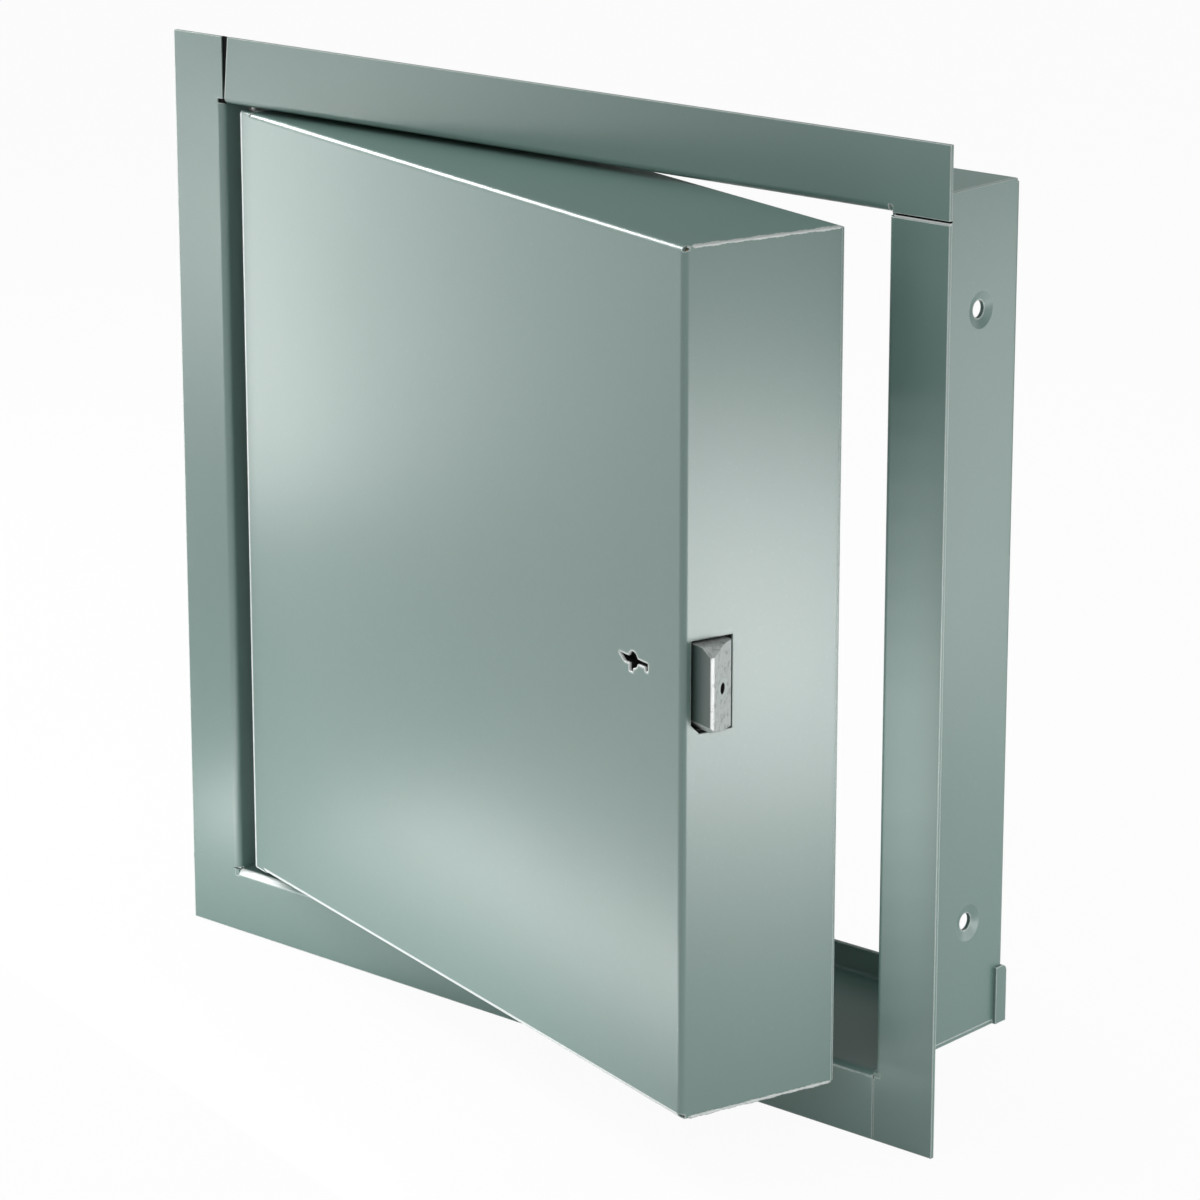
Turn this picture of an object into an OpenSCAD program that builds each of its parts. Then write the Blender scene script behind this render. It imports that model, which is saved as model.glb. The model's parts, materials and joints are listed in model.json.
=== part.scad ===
// Insulated steel access panel: a flanged frame for a wall or ceiling opening and a
// side-hung sandwich door on a continuous hinge, with a spring bolt worked by a key.
// Millimetres, +Z up. The front faces -Y and the origin is the centre of the opening
// in the wall surface, which is the plane of the flange's back face.

/* [Door] */
// Width of the door face, hinge edge to latch edge
door_w = 300.8; // [220:0.1:600]
// Height of the door
door_h = 300.8; // [220:0.1:600]
// Thickness of the door, face to back cover
door_t = 63.5; // [50:0.1:66]
// Sheet thickness of the door pan
pan_sheet = 1.0; // [0.8:0.1:1.4]
// Sheet thickness of the back cover
cover_sheet = 1.0; // [0.8:0.1:1.6]
// Outside radius of the pan's bent edges
pan_edge_r = 2.2; // [1.6:0.1:3]
// Radius of the relief where two bends of the pan meet
corner_relief_r = 0.9; // [0.6:0.1:1.2]
// Width of the returns that carry the back cover
return_w = 14; // [12:0.5:20]
// How far the insulation stands off the faces of the pan
core_clear = 0.3; // [0.2:0.1:0.6]
// How far the face sits behind the front of the flange when closed
face_recess = 1.0; // [0:0.1:2]
// Angle at which the door stands open at rest
open_angle = 16; // [0:0.5:60]

/* [Frame] */
// Sheet thickness of the frame
frame_sheet = 1.5; // [1.2:0.1:2]
// Width of the flange that covers the edge of the opening
flange_w = 25.4; // [20:0.1:50]
// Depth of the frame, front of the flange to the back of the stop lip
frame_depth = 73; // [72:0.1:110]
// Outside radius of the frame's bends
frame_bend_r = 2.6; // [2.2:0.1:4]
// Height of the stop lip around the back of the frame
stop_lip_w = 10; // [6:0.5:14]
// Gap above and below the door
head_gap = 2.0; // [1.5:0.1:4]
// Gap between the hinge jamb and the edge of the door face
hinge_gap = 8.2; // [7:0.1:12]
// Gap between the latch jamb and the door, for the swing of the thick door
latch_gap = 7.0; // [6.4:0.1:8.5]
// Seam between two flange strips
seam_gap = 0.5; // [0.3:0.1:1]
// Seam at the top latch corner
latch_seam = 1.4; // [0.3:0.1:2]
// Narrow end of the tapered seam at the top hinge corner
narrow_seam = 1.0; // [0.3:0.1:2]
// Wide end of the tapered seam at the top hinge corner
wide_seam = 3.4; // [1:0.1:5]
// Length of the tab by which the head or the sill laps over a jamb
lap_tab_len = 20; // [12:1:30]
// Width of the lap tab
lap_tab_w = 6; // [5:0.5:12]
// Radius of the lap tab's free corner
lap_tab_r = 2.5; // [1:0.5:4]

/* [Fixing holes] */
// Radius of the screw holes in the jambs
fixing_hole_r = 3.2; // [2.5:0.1:4]
// Outer radius of the dimple that sinks a screw's head into the jamb
dimple_r = 6.8; // [6:0.1:8]
// Depth of the dimple
dimple_depth = 1.2; // [0.8:0.1:2]
// Distance between the two screw holes of a jamb
fixing_spacing = 222; // [120:1:260]
// Depth of the screw holes behind the front of the flange
fixing_depth = 51; // [40:0.5:56]

/* [Hinge] */
// Radius of the hinge knuckles
knuckle_r = 2.5; // [2.2:0.1:3]
// Radius of the hinge pin
hinge_pin_r = 1.2; // [1:0.1:1.4]
// Radial clearance of the hinge pin in the knuckles
hinge_pin_clear = 0.05; // [0.02:0.01:0.1]
// How far the hinge pin stands out above and below the door
hinge_pin_end = 1.2; // [0.5:0.1:1.4]
// Sheet thickness of the hinge leaves
leaf_sheet = 1.0; // [0.8:0.1:1.2]
// Width of a hinge leaf on the part it is riveted to
leaf_w = 22; // [16:0.5:30]
// Number of knuckles, taken in turn by the frame and the door
knuckle_count = 13; // [7:2:21]
// Gap between neighbouring knuckles
knuckle_gap = 0.3; // [0.2:0.1:0.6]
// Clearance between a knuckle and the lip that hides it
lip_clear = 0.4; // [0.3:0.1:0.8]
// Number of rivets in a leaf
rivet_count = 6; // [3:1:10]
// Radius of a rivet's shank
rivet_r = 1.6; // [1.2:0.1:2]
// Radius of a rivet's head
rivet_head_r = 3.0; // [2.6:0.1:3.6]
// Height of a rivet's head
rivet_head_h = 1.1; // [0.8:0.1:1.5]

/* [Latch] */
// Thickness of the bolt's nose, front to back
bolt_t = 14; // [12:0.5:16]
// Height of the bolt
bolt_h = 30; // [26:0.5:36]
// How far the nose stands out of the door, and how far it goes in
bolt_throw = 9.5; // [9:0.1:11]
// Flat at the tip of the nose
bolt_tip = 1.6; // [1:0.1:3]
// Height of the nose at its back edge
bolt_heel = 1.0; // [0.4:0.1:2]
// Chamfer at the top and bottom of the nose
bolt_chamfer = 2.4; // [1:0.1:4]
// Size of the cut at the nose's lower front corner
bolt_corner = 3.5; // [2:0.1:5]
// Depth of the nose behind the door face
bolt_setback = 4.8; // [4.6:0.1:8]
// How far the keyhole lies above the middle of the door
key_rise = 4.5; // [-20:0.5:20]
// How far the bolt's centre lies below the keyhole
bolt_drop = 3.0; // [2:0.1:4]
// Radius of the rivet in the slope of the nose
nose_rivet_r = 3.8; // [2:0.1:4.2]
// Radius of the hollow in the rivet's end
nose_hollow_r = 2.0; // [1:0.1:2.4]
// Thickness of the bolt's tail
tail_t = 8; // [6:0.5:9]
// Clearance round the bolt in its guides and in the strike
bolt_clear = 0.4; // [0.3:0.1:0.8]
// Gap round the bolt where it comes out of the door's side
cut_out_gap = 1.3; // [0.4:0.1:2]
// Distance of the keyhole from the latch edge of the door
key_backset = 29.5; // [28:0.5:34]
// Angle through which the key turns
key_swing = 60; // [50:1:70]
// Radius of the drive pin that the key moves
drive_pin_r = 2.0; // [1.5:0.1:2.2]
// Clearance of the drive pin in the bolt's slot
drive_clear = 0.3; // [0.2:0.05:0.4]
// Sheet thickness of the latch case
case_sheet = 1.5; // [1:0.1:2]
// Thickness of the strike plate behind the jamb
strike_t = 2.0; // [1.5:0.1:3]
// Radius of the latch spring's coils
spring_r = 4.2; // [3.5:0.1:5]
// Radius of the latch spring's wire
spring_wire_r = 0.5; // [0.4:0.05:0.7]
// Length of the latch spring when the bolt is out
spring_len = 20; // [18:0.5:26]
// Radius of the inside release rod
release_r = 2.5; // [2:0.1:3]
// Radius of the inside release knob
release_knob_r = 6.5; // [5:0.5:8]

/* [Hidden] */
$fn = 48;

// Finishes
primer = "#8fa19b";
primer_dark = "#7d918a";
bare_steel = "#b4b8b8";
zinc = "#c3c6c4";
mineral_wool = "#b3a37d";
black_plastic = "#2a2c2c";

// Opening, and the planes of frame and door, all taken with the door shut
opening_w = hinge_gap + door_w + latch_gap;
opening_h = door_h + 2 * head_gap;
front_y = -frame_sheet;
back_y = front_y + frame_depth;
jamb_x = opening_w / 2;
face_y = front_y + face_recess;
pan_inner_y = face_y + pan_sheet;
door_back_y = face_y + door_t;
pan_back_y = door_back_y - cover_sheet;
hinge_edge_x = -jamb_x + hinge_gap;
latch_edge_x = jamb_x - latch_gap;

// Hinge: the hemmed lip of the face covers the knuckles
lip_t = 2 * pan_sheet;
lip_w = 2 * knuckle_r + leaf_sheet;
axis_x = hinge_edge_x + lip_w / 2;
axis_y = face_y + lip_t + lip_clear + knuckle_r;
door_side_x = hinge_edge_x + lip_w;
lip_swing_r = norm([lip_w / 2, axis_y - face_y]);
arm_clear = 2;
arm_y = axis_y + lip_swing_r + arm_clear;
hinge_len = door_h;
knuckle_pitch = hinge_len / knuckle_count;
knuckle_relief = knuckle_r + knuckle_gap;
lap_clear = 0.3;
rivet_pitch = hinge_len / rivet_count;
frame_rivet_y = arm_y + leaf_w / 2;
door_rivet_y = axis_y + leaf_w / 2;

// Bolt, key cam and latch case, placed from the latch edge and the keyhole
key_x = latch_edge_x - key_backset;
bolt_z = key_rise - bolt_drop;
bolt_y0 = face_y + bolt_setback;
bolt_y1 = bolt_y0 + bolt_t;
guide_t = 2.5;
cam_gap = 0.3;
cam_t = 2.0;
cam_y0 = pan_inner_y + guide_t + cam_gap;
cam_y1 = cam_y0 + cam_t;
tail_y0 = cam_y1 + cam_gap;
tail_y1 = tail_y0 + tail_t;
crank_r = bolt_throw / (2 * sin(key_swing / 2));
keyhole_r = 2.9;
keyhole_half_w = 9;
hub_r = keyhole_half_w + 0.6;
fit_clear = 0.05;
guide_r = hub_r + 2.4;
nose_gap_to_hub = 1.9;
nose_rivet_len = 5;
head_len = key_backset - hub_r - bolt_throw - nose_gap_to_hub;
slot_x = key_x + bolt_throw / 2;
slot_half_w = drive_pin_r + drive_clear;
slot_top = key_rise - crank_r * cos(key_swing / 2) + drive_pin_r + drive_clear;
slot_bottom = key_rise - crank_r - drive_pin_r - drive_clear;
tail_wall = 5;
tail_end_x = slot_x - slot_half_w - tail_wall;
spring_y = tail_y0 + spring_r + spring_wire_r;
spring_seat_gap = 0.1;
spring_pin_gap = 0.5;
spring_pin_r = spring_r - spring_wire_r - spring_pin_gap;
spring_pin_len = spring_len - bolt_throw - 2;
case_end_x = tail_end_x - spring_len;
case_front_x = latch_edge_x - pan_edge_r - core_clear;
case_z0 = bolt_z - bolt_h / 2 - bolt_clear;
case_z1 = bolt_z + bolt_h / 2 + bolt_clear;
case_y1 = bolt_y1 + bolt_clear;
case_flange_w = 12;
stud_r = 2;
stud_clear = 0.2;
stud_len = 8;
nut_r = 4.04;
nut_t = 3.2;
stud_inset = 7;
stud_xs = [case_end_x + stud_inset, case_front_x - stud_inset];
stud_zs = [case_z0 - case_sheet - case_flange_w / 2, case_z1 + case_sheet + case_flange_w / 2];
release_inset = 6;
release_x = tail_end_x + release_inset;
release_z = bolt_z + bolt_h / 2 - release_inset;
release_bore = 4;
release_clear = 0.6;
knob_gap = 1;
knob_h = 9;
release_end_y = door_back_y + knob_h;

// Strike slot: where the nose stands further out than the gap to the jamb
nose_slope = (bolt_t - bolt_tip) / (bolt_throw - bolt_heel);
strike_y0 = bolt_y0 - bolt_clear;
strike_y1 = bolt_y0 + bolt_tip + (bolt_throw - latch_gap) * nose_slope + bolt_clear;
strike_margin = 12;

// Back cover screws and the insulation that clears them
screw_r = 1.7;
screw_head_r = 3.4;
screw_head_h = 1.8;
screw_tip = 1.5;
screw_inset = return_w / 2;
screws_per_side = 3;
core_back_y = pan_back_y - pan_sheet - screw_tip - core_clear;
core_side_clear = rivet_head_h + core_clear;
pocket_clear = 1.5;

// How far a cutter reaches past the sheet that it cuts
cut = 1;

// Carries a part of the door, drawn shut, round the hinge to the rest angle
module door_at_rest() {
  translate([axis_x, axis_y, 0])
    rotate([0, 0, -open_angle])
      translate([-axis_x, -axis_y, 0])
        children();
}

// Extrudes an outline drawn in X and Z from depth y0 to depth y1
module prism_y(y0, y1) {
  translate([0, y1, 0])
    rotate([90, 0, 0])
      linear_extrude(y1 - y0)
        children();
}

// Region of w by d with the corner at the origin rounded
module round_corner(w, d, r) {
  translate([r, 0])
    square([w - r, d]);
  translate([0, r])
    square([w, d - r]);
  translate([r, r])
    circle(r);
}

// Bent sheet: a leg w long in X and a leg d long in Y, with the bend at the origin
module bent_sheet(w, d) {
  difference() {
    round_corner(w, d, frame_bend_r);
    translate([frame_sheet, frame_sheet])
      round_corner(w, d, frame_bend_r - frame_sheet);
  }
}

// One rail of the frame, X outwards and Z along it. Its flange covers the corner at the
// start and meets the next flange at the end, with a seam that may be wider outside. Its
// wall covers the end of the next wall, and the bend of the flange stops at a relief in the corner.
module rail(len, seam = seam_gap, outer_seam = seam_gap) {
  half = len / 2;
  bend_depth = frame_bend_r + frame_sheet;
  relief = frame_sheet + lap_clear;
  mitre = half - seam_gap;
  intersection() {
    union() {
      translate([0, front_y, -half])
        linear_extrude(len)
          bent_sheet(flange_w, bend_depth);
      prism_y(front_y, 0)
        polygon([[0, -half - flange_w], [flange_w, -half - flange_w], [flange_w, half],
                 [frame_bend_r, half], [frame_bend_r, -half - relief], [0, -half - relief]]);
    }
    prism_y(front_y, front_y + bend_depth)
      polygon([[0, -half - flange_w], [flange_w, -half - flange_w],
               [flange_w, half - outer_seam], [0, half - seam]]);
  }
  translate([0, front_y + frame_bend_r, -half])
    cube([frame_sheet, frame_depth - 2 * frame_bend_r, len + frame_sheet]);
  intersection() {
    translate([frame_sheet, back_y, -half])
      linear_extrude(len)
        rotate(180)
          bent_sheet(frame_sheet + stop_lip_w, bend_depth);
    prism_y(back_y - bend_depth, back_y)
      polygon([[frame_sheet, -half], [frame_sheet, half], [0, half], [0, mitre],
               [-stop_lip_w, mitre - stop_lip_w], [-stop_lip_w, stop_lip_w - mitre],
               [0, -mitre], [0, -half]]);
  }
}

// Tab at the end of a rail that is folded over the jamb's wall, with its free corner rounded
module lap_tab(half) {
  translate([0, back_y - lap_tab_w, half])
    cube([frame_sheet, lap_tab_w, 2 * frame_sheet]);
  translate([-lap_tab_len, back_y, half + frame_sheet])
    mirror([0, 1, 0])
      linear_extrude(frame_sheet)
        round_corner(lap_tab_len + frame_sheet, lap_tab_w, lap_tab_r);
}

// The head or the sill: a rail with a lap tab at its end
module cross_rail(seam = seam_gap, outer_seam = seam_gap) {
  rail(opening_w, seam, outer_seam);
  lap_tab(opening_w / 2);
}

// Sheet of a dimple with its screw hole, sunk from the outside of a wall towards -X
module dimple() {
  rim = 0.4;
  outer_x = frame_sheet;
  rotate([0, 90, 0])
    rotate_extrude()
      polygon([[fixing_hole_r, -dimple_depth], [fixing_hole_r, outer_x - dimple_depth],
               [fixing_hole_r + rim, outer_x - dimple_depth], [dimple_r, outer_x], [dimple_r, 0],
               [fixing_hole_r + 2 * rim, -dimple_depth]]);
}

// A jamb: a rail with two dimpled screw holes in its wall
module jamb(seam) {
  hole_y = front_y + fixing_depth;
  difference() {
    rail(opening_h, seam, seam);
    for (z = [-1, 1] * fixing_spacing / 2)
      translate([0, hole_y, z])
        rotate([0, 90, 0])
          cylinder(r = dimple_r, h = 3 * frame_sheet, center = true);
  }
  for (z = [-1, 1] * fixing_spacing / 2)
    translate([0, hole_y, z])
      dimple();
}

// Space that the bolt's nose takes in the jamb and its strike plate
module strike_slot() {
  translate([jamb_x - cut, strike_y0, case_z0])
    cube([frame_sheet + strike_t + 2 * cut, strike_y1 - strike_y0, case_z1 - case_z0]);
}

module frame_head() {
  color(primer)
    translate([0, 0, opening_h / 2])
      rotate([0, -90, 0])
        cross_rail(narrow_seam, wide_seam);
}

module frame_sill() {
  color(primer)
    translate([0, 0, -opening_h / 2])
      rotate([0, 90, 0])
        cross_rail();
}

module frame_hinge_jamb() {
  color(primer)
    difference() {
      translate([-jamb_x, 0, 0])
        rotate([0, 180, 0])
          jamb(seam_gap);
      rivet_holes(-jamb_x - frame_sheet, frame_rivet_y, frame_sheet);
    }
}

module frame_latch_jamb() {
  color(primer)
    difference() {
      translate([jamb_x, 0, 0])
        jamb(latch_seam);
      strike_slot();
    }
}

module strike_plate() {
  plate_y0 = frame_sheet;
  color(bare_steel)
    difference() {
      translate([jamb_x + frame_sheet, plate_y0, case_z0 - strike_margin])
        cube([strike_t, strike_y1 + strike_margin - plate_y0, case_z1 - case_z0 + 2 * strike_margin]);
      strike_slot();
    }
}

// Heights of the rivets along a hinge leaf
function rivet_z(i) = (i + 0.5) * rivet_pitch - hinge_len / 2;

// Shank holes along a leaf, from x over the given thickness
module rivet_holes(x, y, thickness) {
  for (i = [0 : rivet_count - 1])
    translate([x - cut / 2, y, rivet_z(i)])
      rotate([0, 90, 0])
        cylinder(r = rivet_r + fit_clear, h = thickness + cut);
}

// A rivet along +X: domed head before x = 0, grip, and the set end beyond the grip
module rivet(grip) {
  crown_r = rivet_head_r * 0.6;
  set_r = rivet_head_r * 0.8;
  rotate([0, 90, 0]) {
    translate([0, 0, -rivet_head_h / 2])
      cylinder(r = rivet_r, h = grip + rivet_head_h);
    translate([0, 0, -rivet_head_h])
      cylinder(r1 = crown_r, r2 = rivet_head_r, h = rivet_head_h);
    translate([0, 0, grip])
      cylinder(r1 = set_r, r2 = crown_r, h = rivet_head_h);
  }
}

// Knuckles with index first, first + 2 and so on, bored for the pin
module knuckles(first) {
  for (i = [first : 2 : knuckle_count - 1])
    translate([axis_x, axis_y, i * knuckle_pitch - hinge_len / 2 + knuckle_gap / 2])
      cylinder(r = knuckle_r, h = knuckle_pitch - knuckle_gap);
}

// Room in one leaf for the knuckles of the other
module knuckle_reliefs(first) {
  for (i = [first : 2 : knuckle_count - 1])
    translate([axis_x - 2 * knuckle_r, axis_y - knuckle_relief,
               i * knuckle_pitch - (hinge_len + knuckle_gap) / 2])
      cube([4 * knuckle_r, 2 * knuckle_relief, knuckle_pitch + knuckle_gap]);
}

module pin_bore() {
  translate([axis_x, axis_y, -hinge_len])
    cylinder(r = hinge_pin_r + hinge_pin_clear, h = 2 * hinge_len);
}

// Frame leaf: from the knuckles straight back, then across to the jamb and along it
module hinge_frame_leaf() {
  web_x = axis_x - knuckle_r;
  color(bare_steel)
    difference() {
      union() {
        difference() {
          translate([0, 0, -hinge_len / 2])
            linear_extrude(hinge_len) {
              translate([web_x, axis_y])
                square([leaf_sheet, arm_y + leaf_sheet - axis_y]);
              translate([-jamb_x, arm_y])
                square([web_x + jamb_x + leaf_sheet, leaf_sheet]);
              translate([-jamb_x, arm_y])
                square([leaf_sheet, leaf_w]);
            }
          knuckle_reliefs(1);
        }
        knuckles(0);
      }
      pin_bore();
      rivet_holes(-jamb_x, frame_rivet_y, leaf_sheet);
    }
}

module hinge_door_leaf() {
  color(bare_steel)
    door_at_rest()
      difference() {
        union() {
          difference() {
            translate([door_side_x - leaf_sheet, axis_y, -hinge_len / 2])
              cube([leaf_sheet, leaf_w, hinge_len]);
            knuckle_reliefs(0);
          }
          knuckles(1);
        }
        pin_bore();
        rivet_holes(door_side_x - leaf_sheet, door_rivet_y, leaf_sheet);
      }
}

module hinge_pin() {
  color(zinc)
    translate([axis_x, axis_y, -hinge_len / 2 - hinge_pin_end])
      cylinder(r = hinge_pin_r, h = hinge_len + 2 * hinge_pin_end);
}

module frame_leaf_rivets() {
  color(zinc)
    for (i = [0 : rivet_count - 1])
      translate([-jamb_x + leaf_sheet, frame_rivet_y, rivet_z(i)])
        rotate([0, 0, 180])
          rivet(leaf_sheet + frame_sheet);
}

module door_leaf_rivets() {
  color(zinc)
    door_at_rest()
      for (i = [0 : rivet_count - 1])
        translate([door_side_x - leaf_sheet, door_rivet_y, rivet_z(i)])
          rivet(leaf_sheet + pan_sheet);
}

// Rectangle from x0 to x1 and y0 to y1 with its two front corners rounded
module rounded_front(x0, x1, y0, y1, r0, r1) {
  depth = max(r0, r1);
  translate([x0, y0 + depth])
    square([x1 - x0, y1 - y0 - depth]);
  translate([x0 + r0, y0])
    square([x1 - x0 - r0 - r1, depth]);
  if (r0 > 0)
    translate([x0 + r0, y0 + r0])
      circle(r0);
  if (r1 > 0)
    translate([x1 - r1, y0 + r1])
      circle(r1);
}

// Block behind the face with its front edges rounded, square on the hinge side
module front_block(x0, x1, y0, y1, half_h, r) {
  intersection() {
    translate([0, 0, -half_h])
      linear_extrude(2 * half_h)
        rounded_front(x0, x1, y0, y1, 0, r);
    translate([x0, 0, 0])
      rotate([90, 0, 90])
        linear_extrude(x1 - x0)
          rotate(90)
            mirror([0, 1, 0])
              rounded_front(-half_h, half_h, y0, y1, r, r);
  }
}

// Hemmed lip of the face that covers the knuckles, its top and bottom rounded as the pan's
module hemmed_lip() {
  front_block(hinge_edge_x + lip_t / 2, door_side_x + pan_edge_r, face_y, face_y + lip_t, door_h / 2,
              lip_t / 2);
  translate([hinge_edge_x + lip_t / 2, face_y + lip_t / 2, lip_t / 2 - door_h / 2])
    cylinder(r = lip_t / 2, h = door_h - lip_t);
}

// Keyhole outline about its centre: round middle, two wings, a hook on one and a leg
module keyhole() {
  wing_t = 1.7;
  hook_w = 1.8;
  hook_drop = 1.3;
  leg_w = 2.4;
  leg_drop = 4.3;
  circle(keyhole_r);
  polygon([[-keyhole_half_w, wing_t / 2], [0, wing_t / 2], [0, -wing_t],
           [-keyhole_half_w * 0.6, -wing_t]]);
  translate([0, -wing_t / 2])
    square([keyhole_half_w, wing_t]);
  translate([keyhole_half_w - hook_w, -wing_t / 2 - hook_drop])
    square([hook_w, wing_t / 2 + hook_drop]);
  translate([-leg_w, -leg_drop])
    square([leg_w, leg_drop]);
}

module door_pan() {
  half_h = door_h / 2;
  cavity_x0 = door_side_x + pan_sheet;
  cavity_x1 = latch_edge_x - pan_sheet;
  color(primer)
    door_at_rest()
      difference() {
        union() {
          front_block(door_side_x, latch_edge_x, face_y, pan_back_y, half_h, pan_edge_r);
          hemmed_lip();
        }
        front_block(cavity_x0, cavity_x1, pan_inner_y, pan_back_y - pan_sheet, half_h - pan_sheet,
                    pan_edge_r - pan_sheet);
        translate([door_side_x + return_w, pan_back_y - pan_sheet - cut, return_w - half_h])
          cube([latch_edge_x - door_side_x - 2 * return_w, pan_sheet + 2 * cut, door_h - 2 * return_w]);
        for (s = [-1, 1])
          translate([latch_edge_x - corner_relief_r, 0, s * (half_h - corner_relief_r)])
            prism_y(face_y - cut, face_y + pan_edge_r)
              circle(corner_relief_r);
        translate([key_x, 0, key_rise])
          prism_y(face_y - cut, pan_inner_y + cut)
            keyhole();
        bolt_cut_out();
        rivet_holes(door_side_x, door_rivet_y, pan_sheet);
        screw_holes(pan_back_y - pan_sheet - cut, pan_back_y + cut);
      }
}

// Cut-out of the latch side for the bolt, its lower front corner taken off
module bolt_cut_out() {
  translate([latch_edge_x - pan_edge_r, 0, 0])
    rotate([90, 0, 90])
      linear_extrude(pan_edge_r + cut)
        nose_section(cut_out_gap);
}

// Section of the nose across its travel, in Y and Z, grown by a clearance
module nose_section(grow) {
  y0 = bolt_y0 - grow;
  y1 = bolt_y1 + grow;
  z0 = bolt_z - bolt_h / 2 - grow;
  z1 = bolt_z + bolt_h / 2 + grow;
  polygon([[y0 + bolt_corner, z0], [y1, z0], [y1, z1], [y0, z1], [y0, z0 + bolt_corner]]);
}

// Places of the back cover screws: three along each side, with shared corners left out
function screw_places() =
  let (x0 = door_side_x + screw_inset, x1 = latch_edge_x - screw_inset, z = door_h / 2 - screw_inset,
       last = screws_per_side - 1)
  concat([for (i = [0 : last]) for (s = [-1, 1]) [x0 + (x1 - x0) * i / last, s * z]],
         [for (i = [1 : last - 1]) for (x = [x0, x1]) [x, z * (2 * i / last - 1)]]);

module screw_holes(y0, y1) {
  for (p = screw_places())
    translate([p[0], y1, p[1]])
      rotate([90, 0, 0])
        cylinder(r = screw_r + fit_clear, h = y1 - y0);
}

module door_back_cover() {
  inset = 0.4;
  color(primer_dark)
    door_at_rest()
      difference() {
        translate([door_side_x + inset, pan_back_y, inset - door_h / 2])
          cube([latch_edge_x - door_side_x - 2 * inset, cover_sheet, door_h - 2 * inset]);
        screw_holes(pan_back_y - cut, door_back_y + cut);
        release_slot(pan_back_y - cut, door_back_y + cut, release_r + release_clear);
      }
}

module back_cover_screws() {
  shank = cover_sheet + pan_sheet + screw_tip;
  crown_r = screw_head_r * 0.7;
  color(zinc)
    door_at_rest()
      for (p = screw_places())
        translate([p[0], door_back_y, p[1]])
          rotate([-90, 0, 0]) {
            translate([0, 0, -shank])
              cylinder(r = screw_r, h = shank + screw_head_h / 2);
            cylinder(r1 = screw_head_r, r2 = crown_r, h = screw_head_h);
          }
}

// Slot with round ends along which the release rod moves with the bolt
module release_slot(y0, y1, r) {
  prism_y(y0, y1) {
    translate([release_x - bolt_throw, release_z - r])
      square([bolt_throw, 2 * r]);
    for (x = [release_x - bolt_throw, release_x])
      translate([x, release_z])
        circle(r);
  }
}

module insulation_core() {
  x0 = door_side_x + pan_sheet + core_side_clear;
  x1 = latch_edge_x - pan_sheet - core_clear;
  y0 = pan_inner_y + core_clear;
  half_h = door_h / 2 - pan_sheet - core_clear;
  pocket_z0 = case_z0 - case_sheet - case_flange_w - pocket_clear;
  pocket_z1 = case_z1 + case_sheet + case_flange_w + pocket_clear;
  pocket_x0 = case_end_x - case_sheet - pocket_clear;
  color(mineral_wool)
    door_at_rest()
      difference() {
        front_block(x0, x1, y0, core_back_y, half_h, pan_edge_r - pan_sheet);
        translate([pocket_x0, y0 - cut, pocket_z0])
          cube([x1 - pocket_x0 + cut, case_y1 + case_sheet + pocket_clear - y0 + cut,
                pocket_z1 - pocket_z0]);
        release_slot(y0, door_back_y, release_r + pocket_clear);
      }
}

// Latch case: a box open to the face and to the latch edge, with a flange above and below
module latch_case() {
  x1 = case_front_x;
  outer_h = case_z1 - case_z0 + 2 * case_sheet;
  color(zinc)
    door_at_rest()
      difference() {
        union() {
          translate([case_end_x - case_sheet, pan_inner_y, case_z0 - case_sheet])
            cube([x1 - case_end_x + case_sheet, case_y1 + case_sheet - pan_inner_y, outer_h]);
          translate([case_end_x - case_sheet, pan_inner_y, case_z0 - case_sheet - case_flange_w])
            cube([x1 - case_end_x + case_sheet, case_sheet, outer_h + 2 * case_flange_w]);
        }
        translate([case_end_x, pan_inner_y - cut, case_z0])
          cube([x1 - case_end_x + cut, case_y1 - pan_inner_y + cut, case_z1 - case_z0]);
        release_slot(case_y1 - cut, case_y1 + case_sheet + cut, release_r + release_clear);
        for (x = stud_xs, z = stud_zs)
          translate([x, pan_inner_y - cut, z])
            rotate([-90, 0, 0])
              cylinder(r = stud_r + stud_clear, h = case_sheet + 2 * cut);
      }
}

module latch_case_studs() {
  color(bare_steel)
    door_at_rest()
      for (x = stud_xs, z = stud_zs)
        translate([x, pan_inner_y, z])
          rotate([-90, 0, 0])
            cylinder(r = stud_r, h = stud_len);
}

module latch_case_nuts() {
  color(zinc)
    door_at_rest()
      for (x = stud_xs, z = stud_zs)
        translate([x, pan_inner_y + case_sheet, z])
          rotate([-90, 0, 0])
            difference() {
              cylinder(r = nut_r, h = nut_t, $fn = 6);
              translate([0, 0, -cut])
                cylinder(r = stud_r + fit_clear, h = nut_t + 2 * cut);
            }
}

// Ring on the inside of the face in which the key cam turns
module key_guide() {
  color(zinc)
    door_at_rest()
      translate([key_x, pan_inner_y, key_rise])
        rotate([-90, 0, 0])
          difference() {
            cylinder(r = guide_r, h = guide_t);
            translate([0, 0, -cut])
              cylinder(r = hub_r + fit_clear, h = guide_t + 2 * cut);
          }
}

// Points of one ring of the spring's wire, at turn angle a and distance x along the coil
function spring_ring(a, x, sides) =
  [for (k = [0 : sides - 1])
    let (b = 360 * k / sides, r = spring_r + spring_wire_r * cos(b))
    [x + spring_wire_r * sin(b), r * cos(a), r * sin(a)]];

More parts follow.
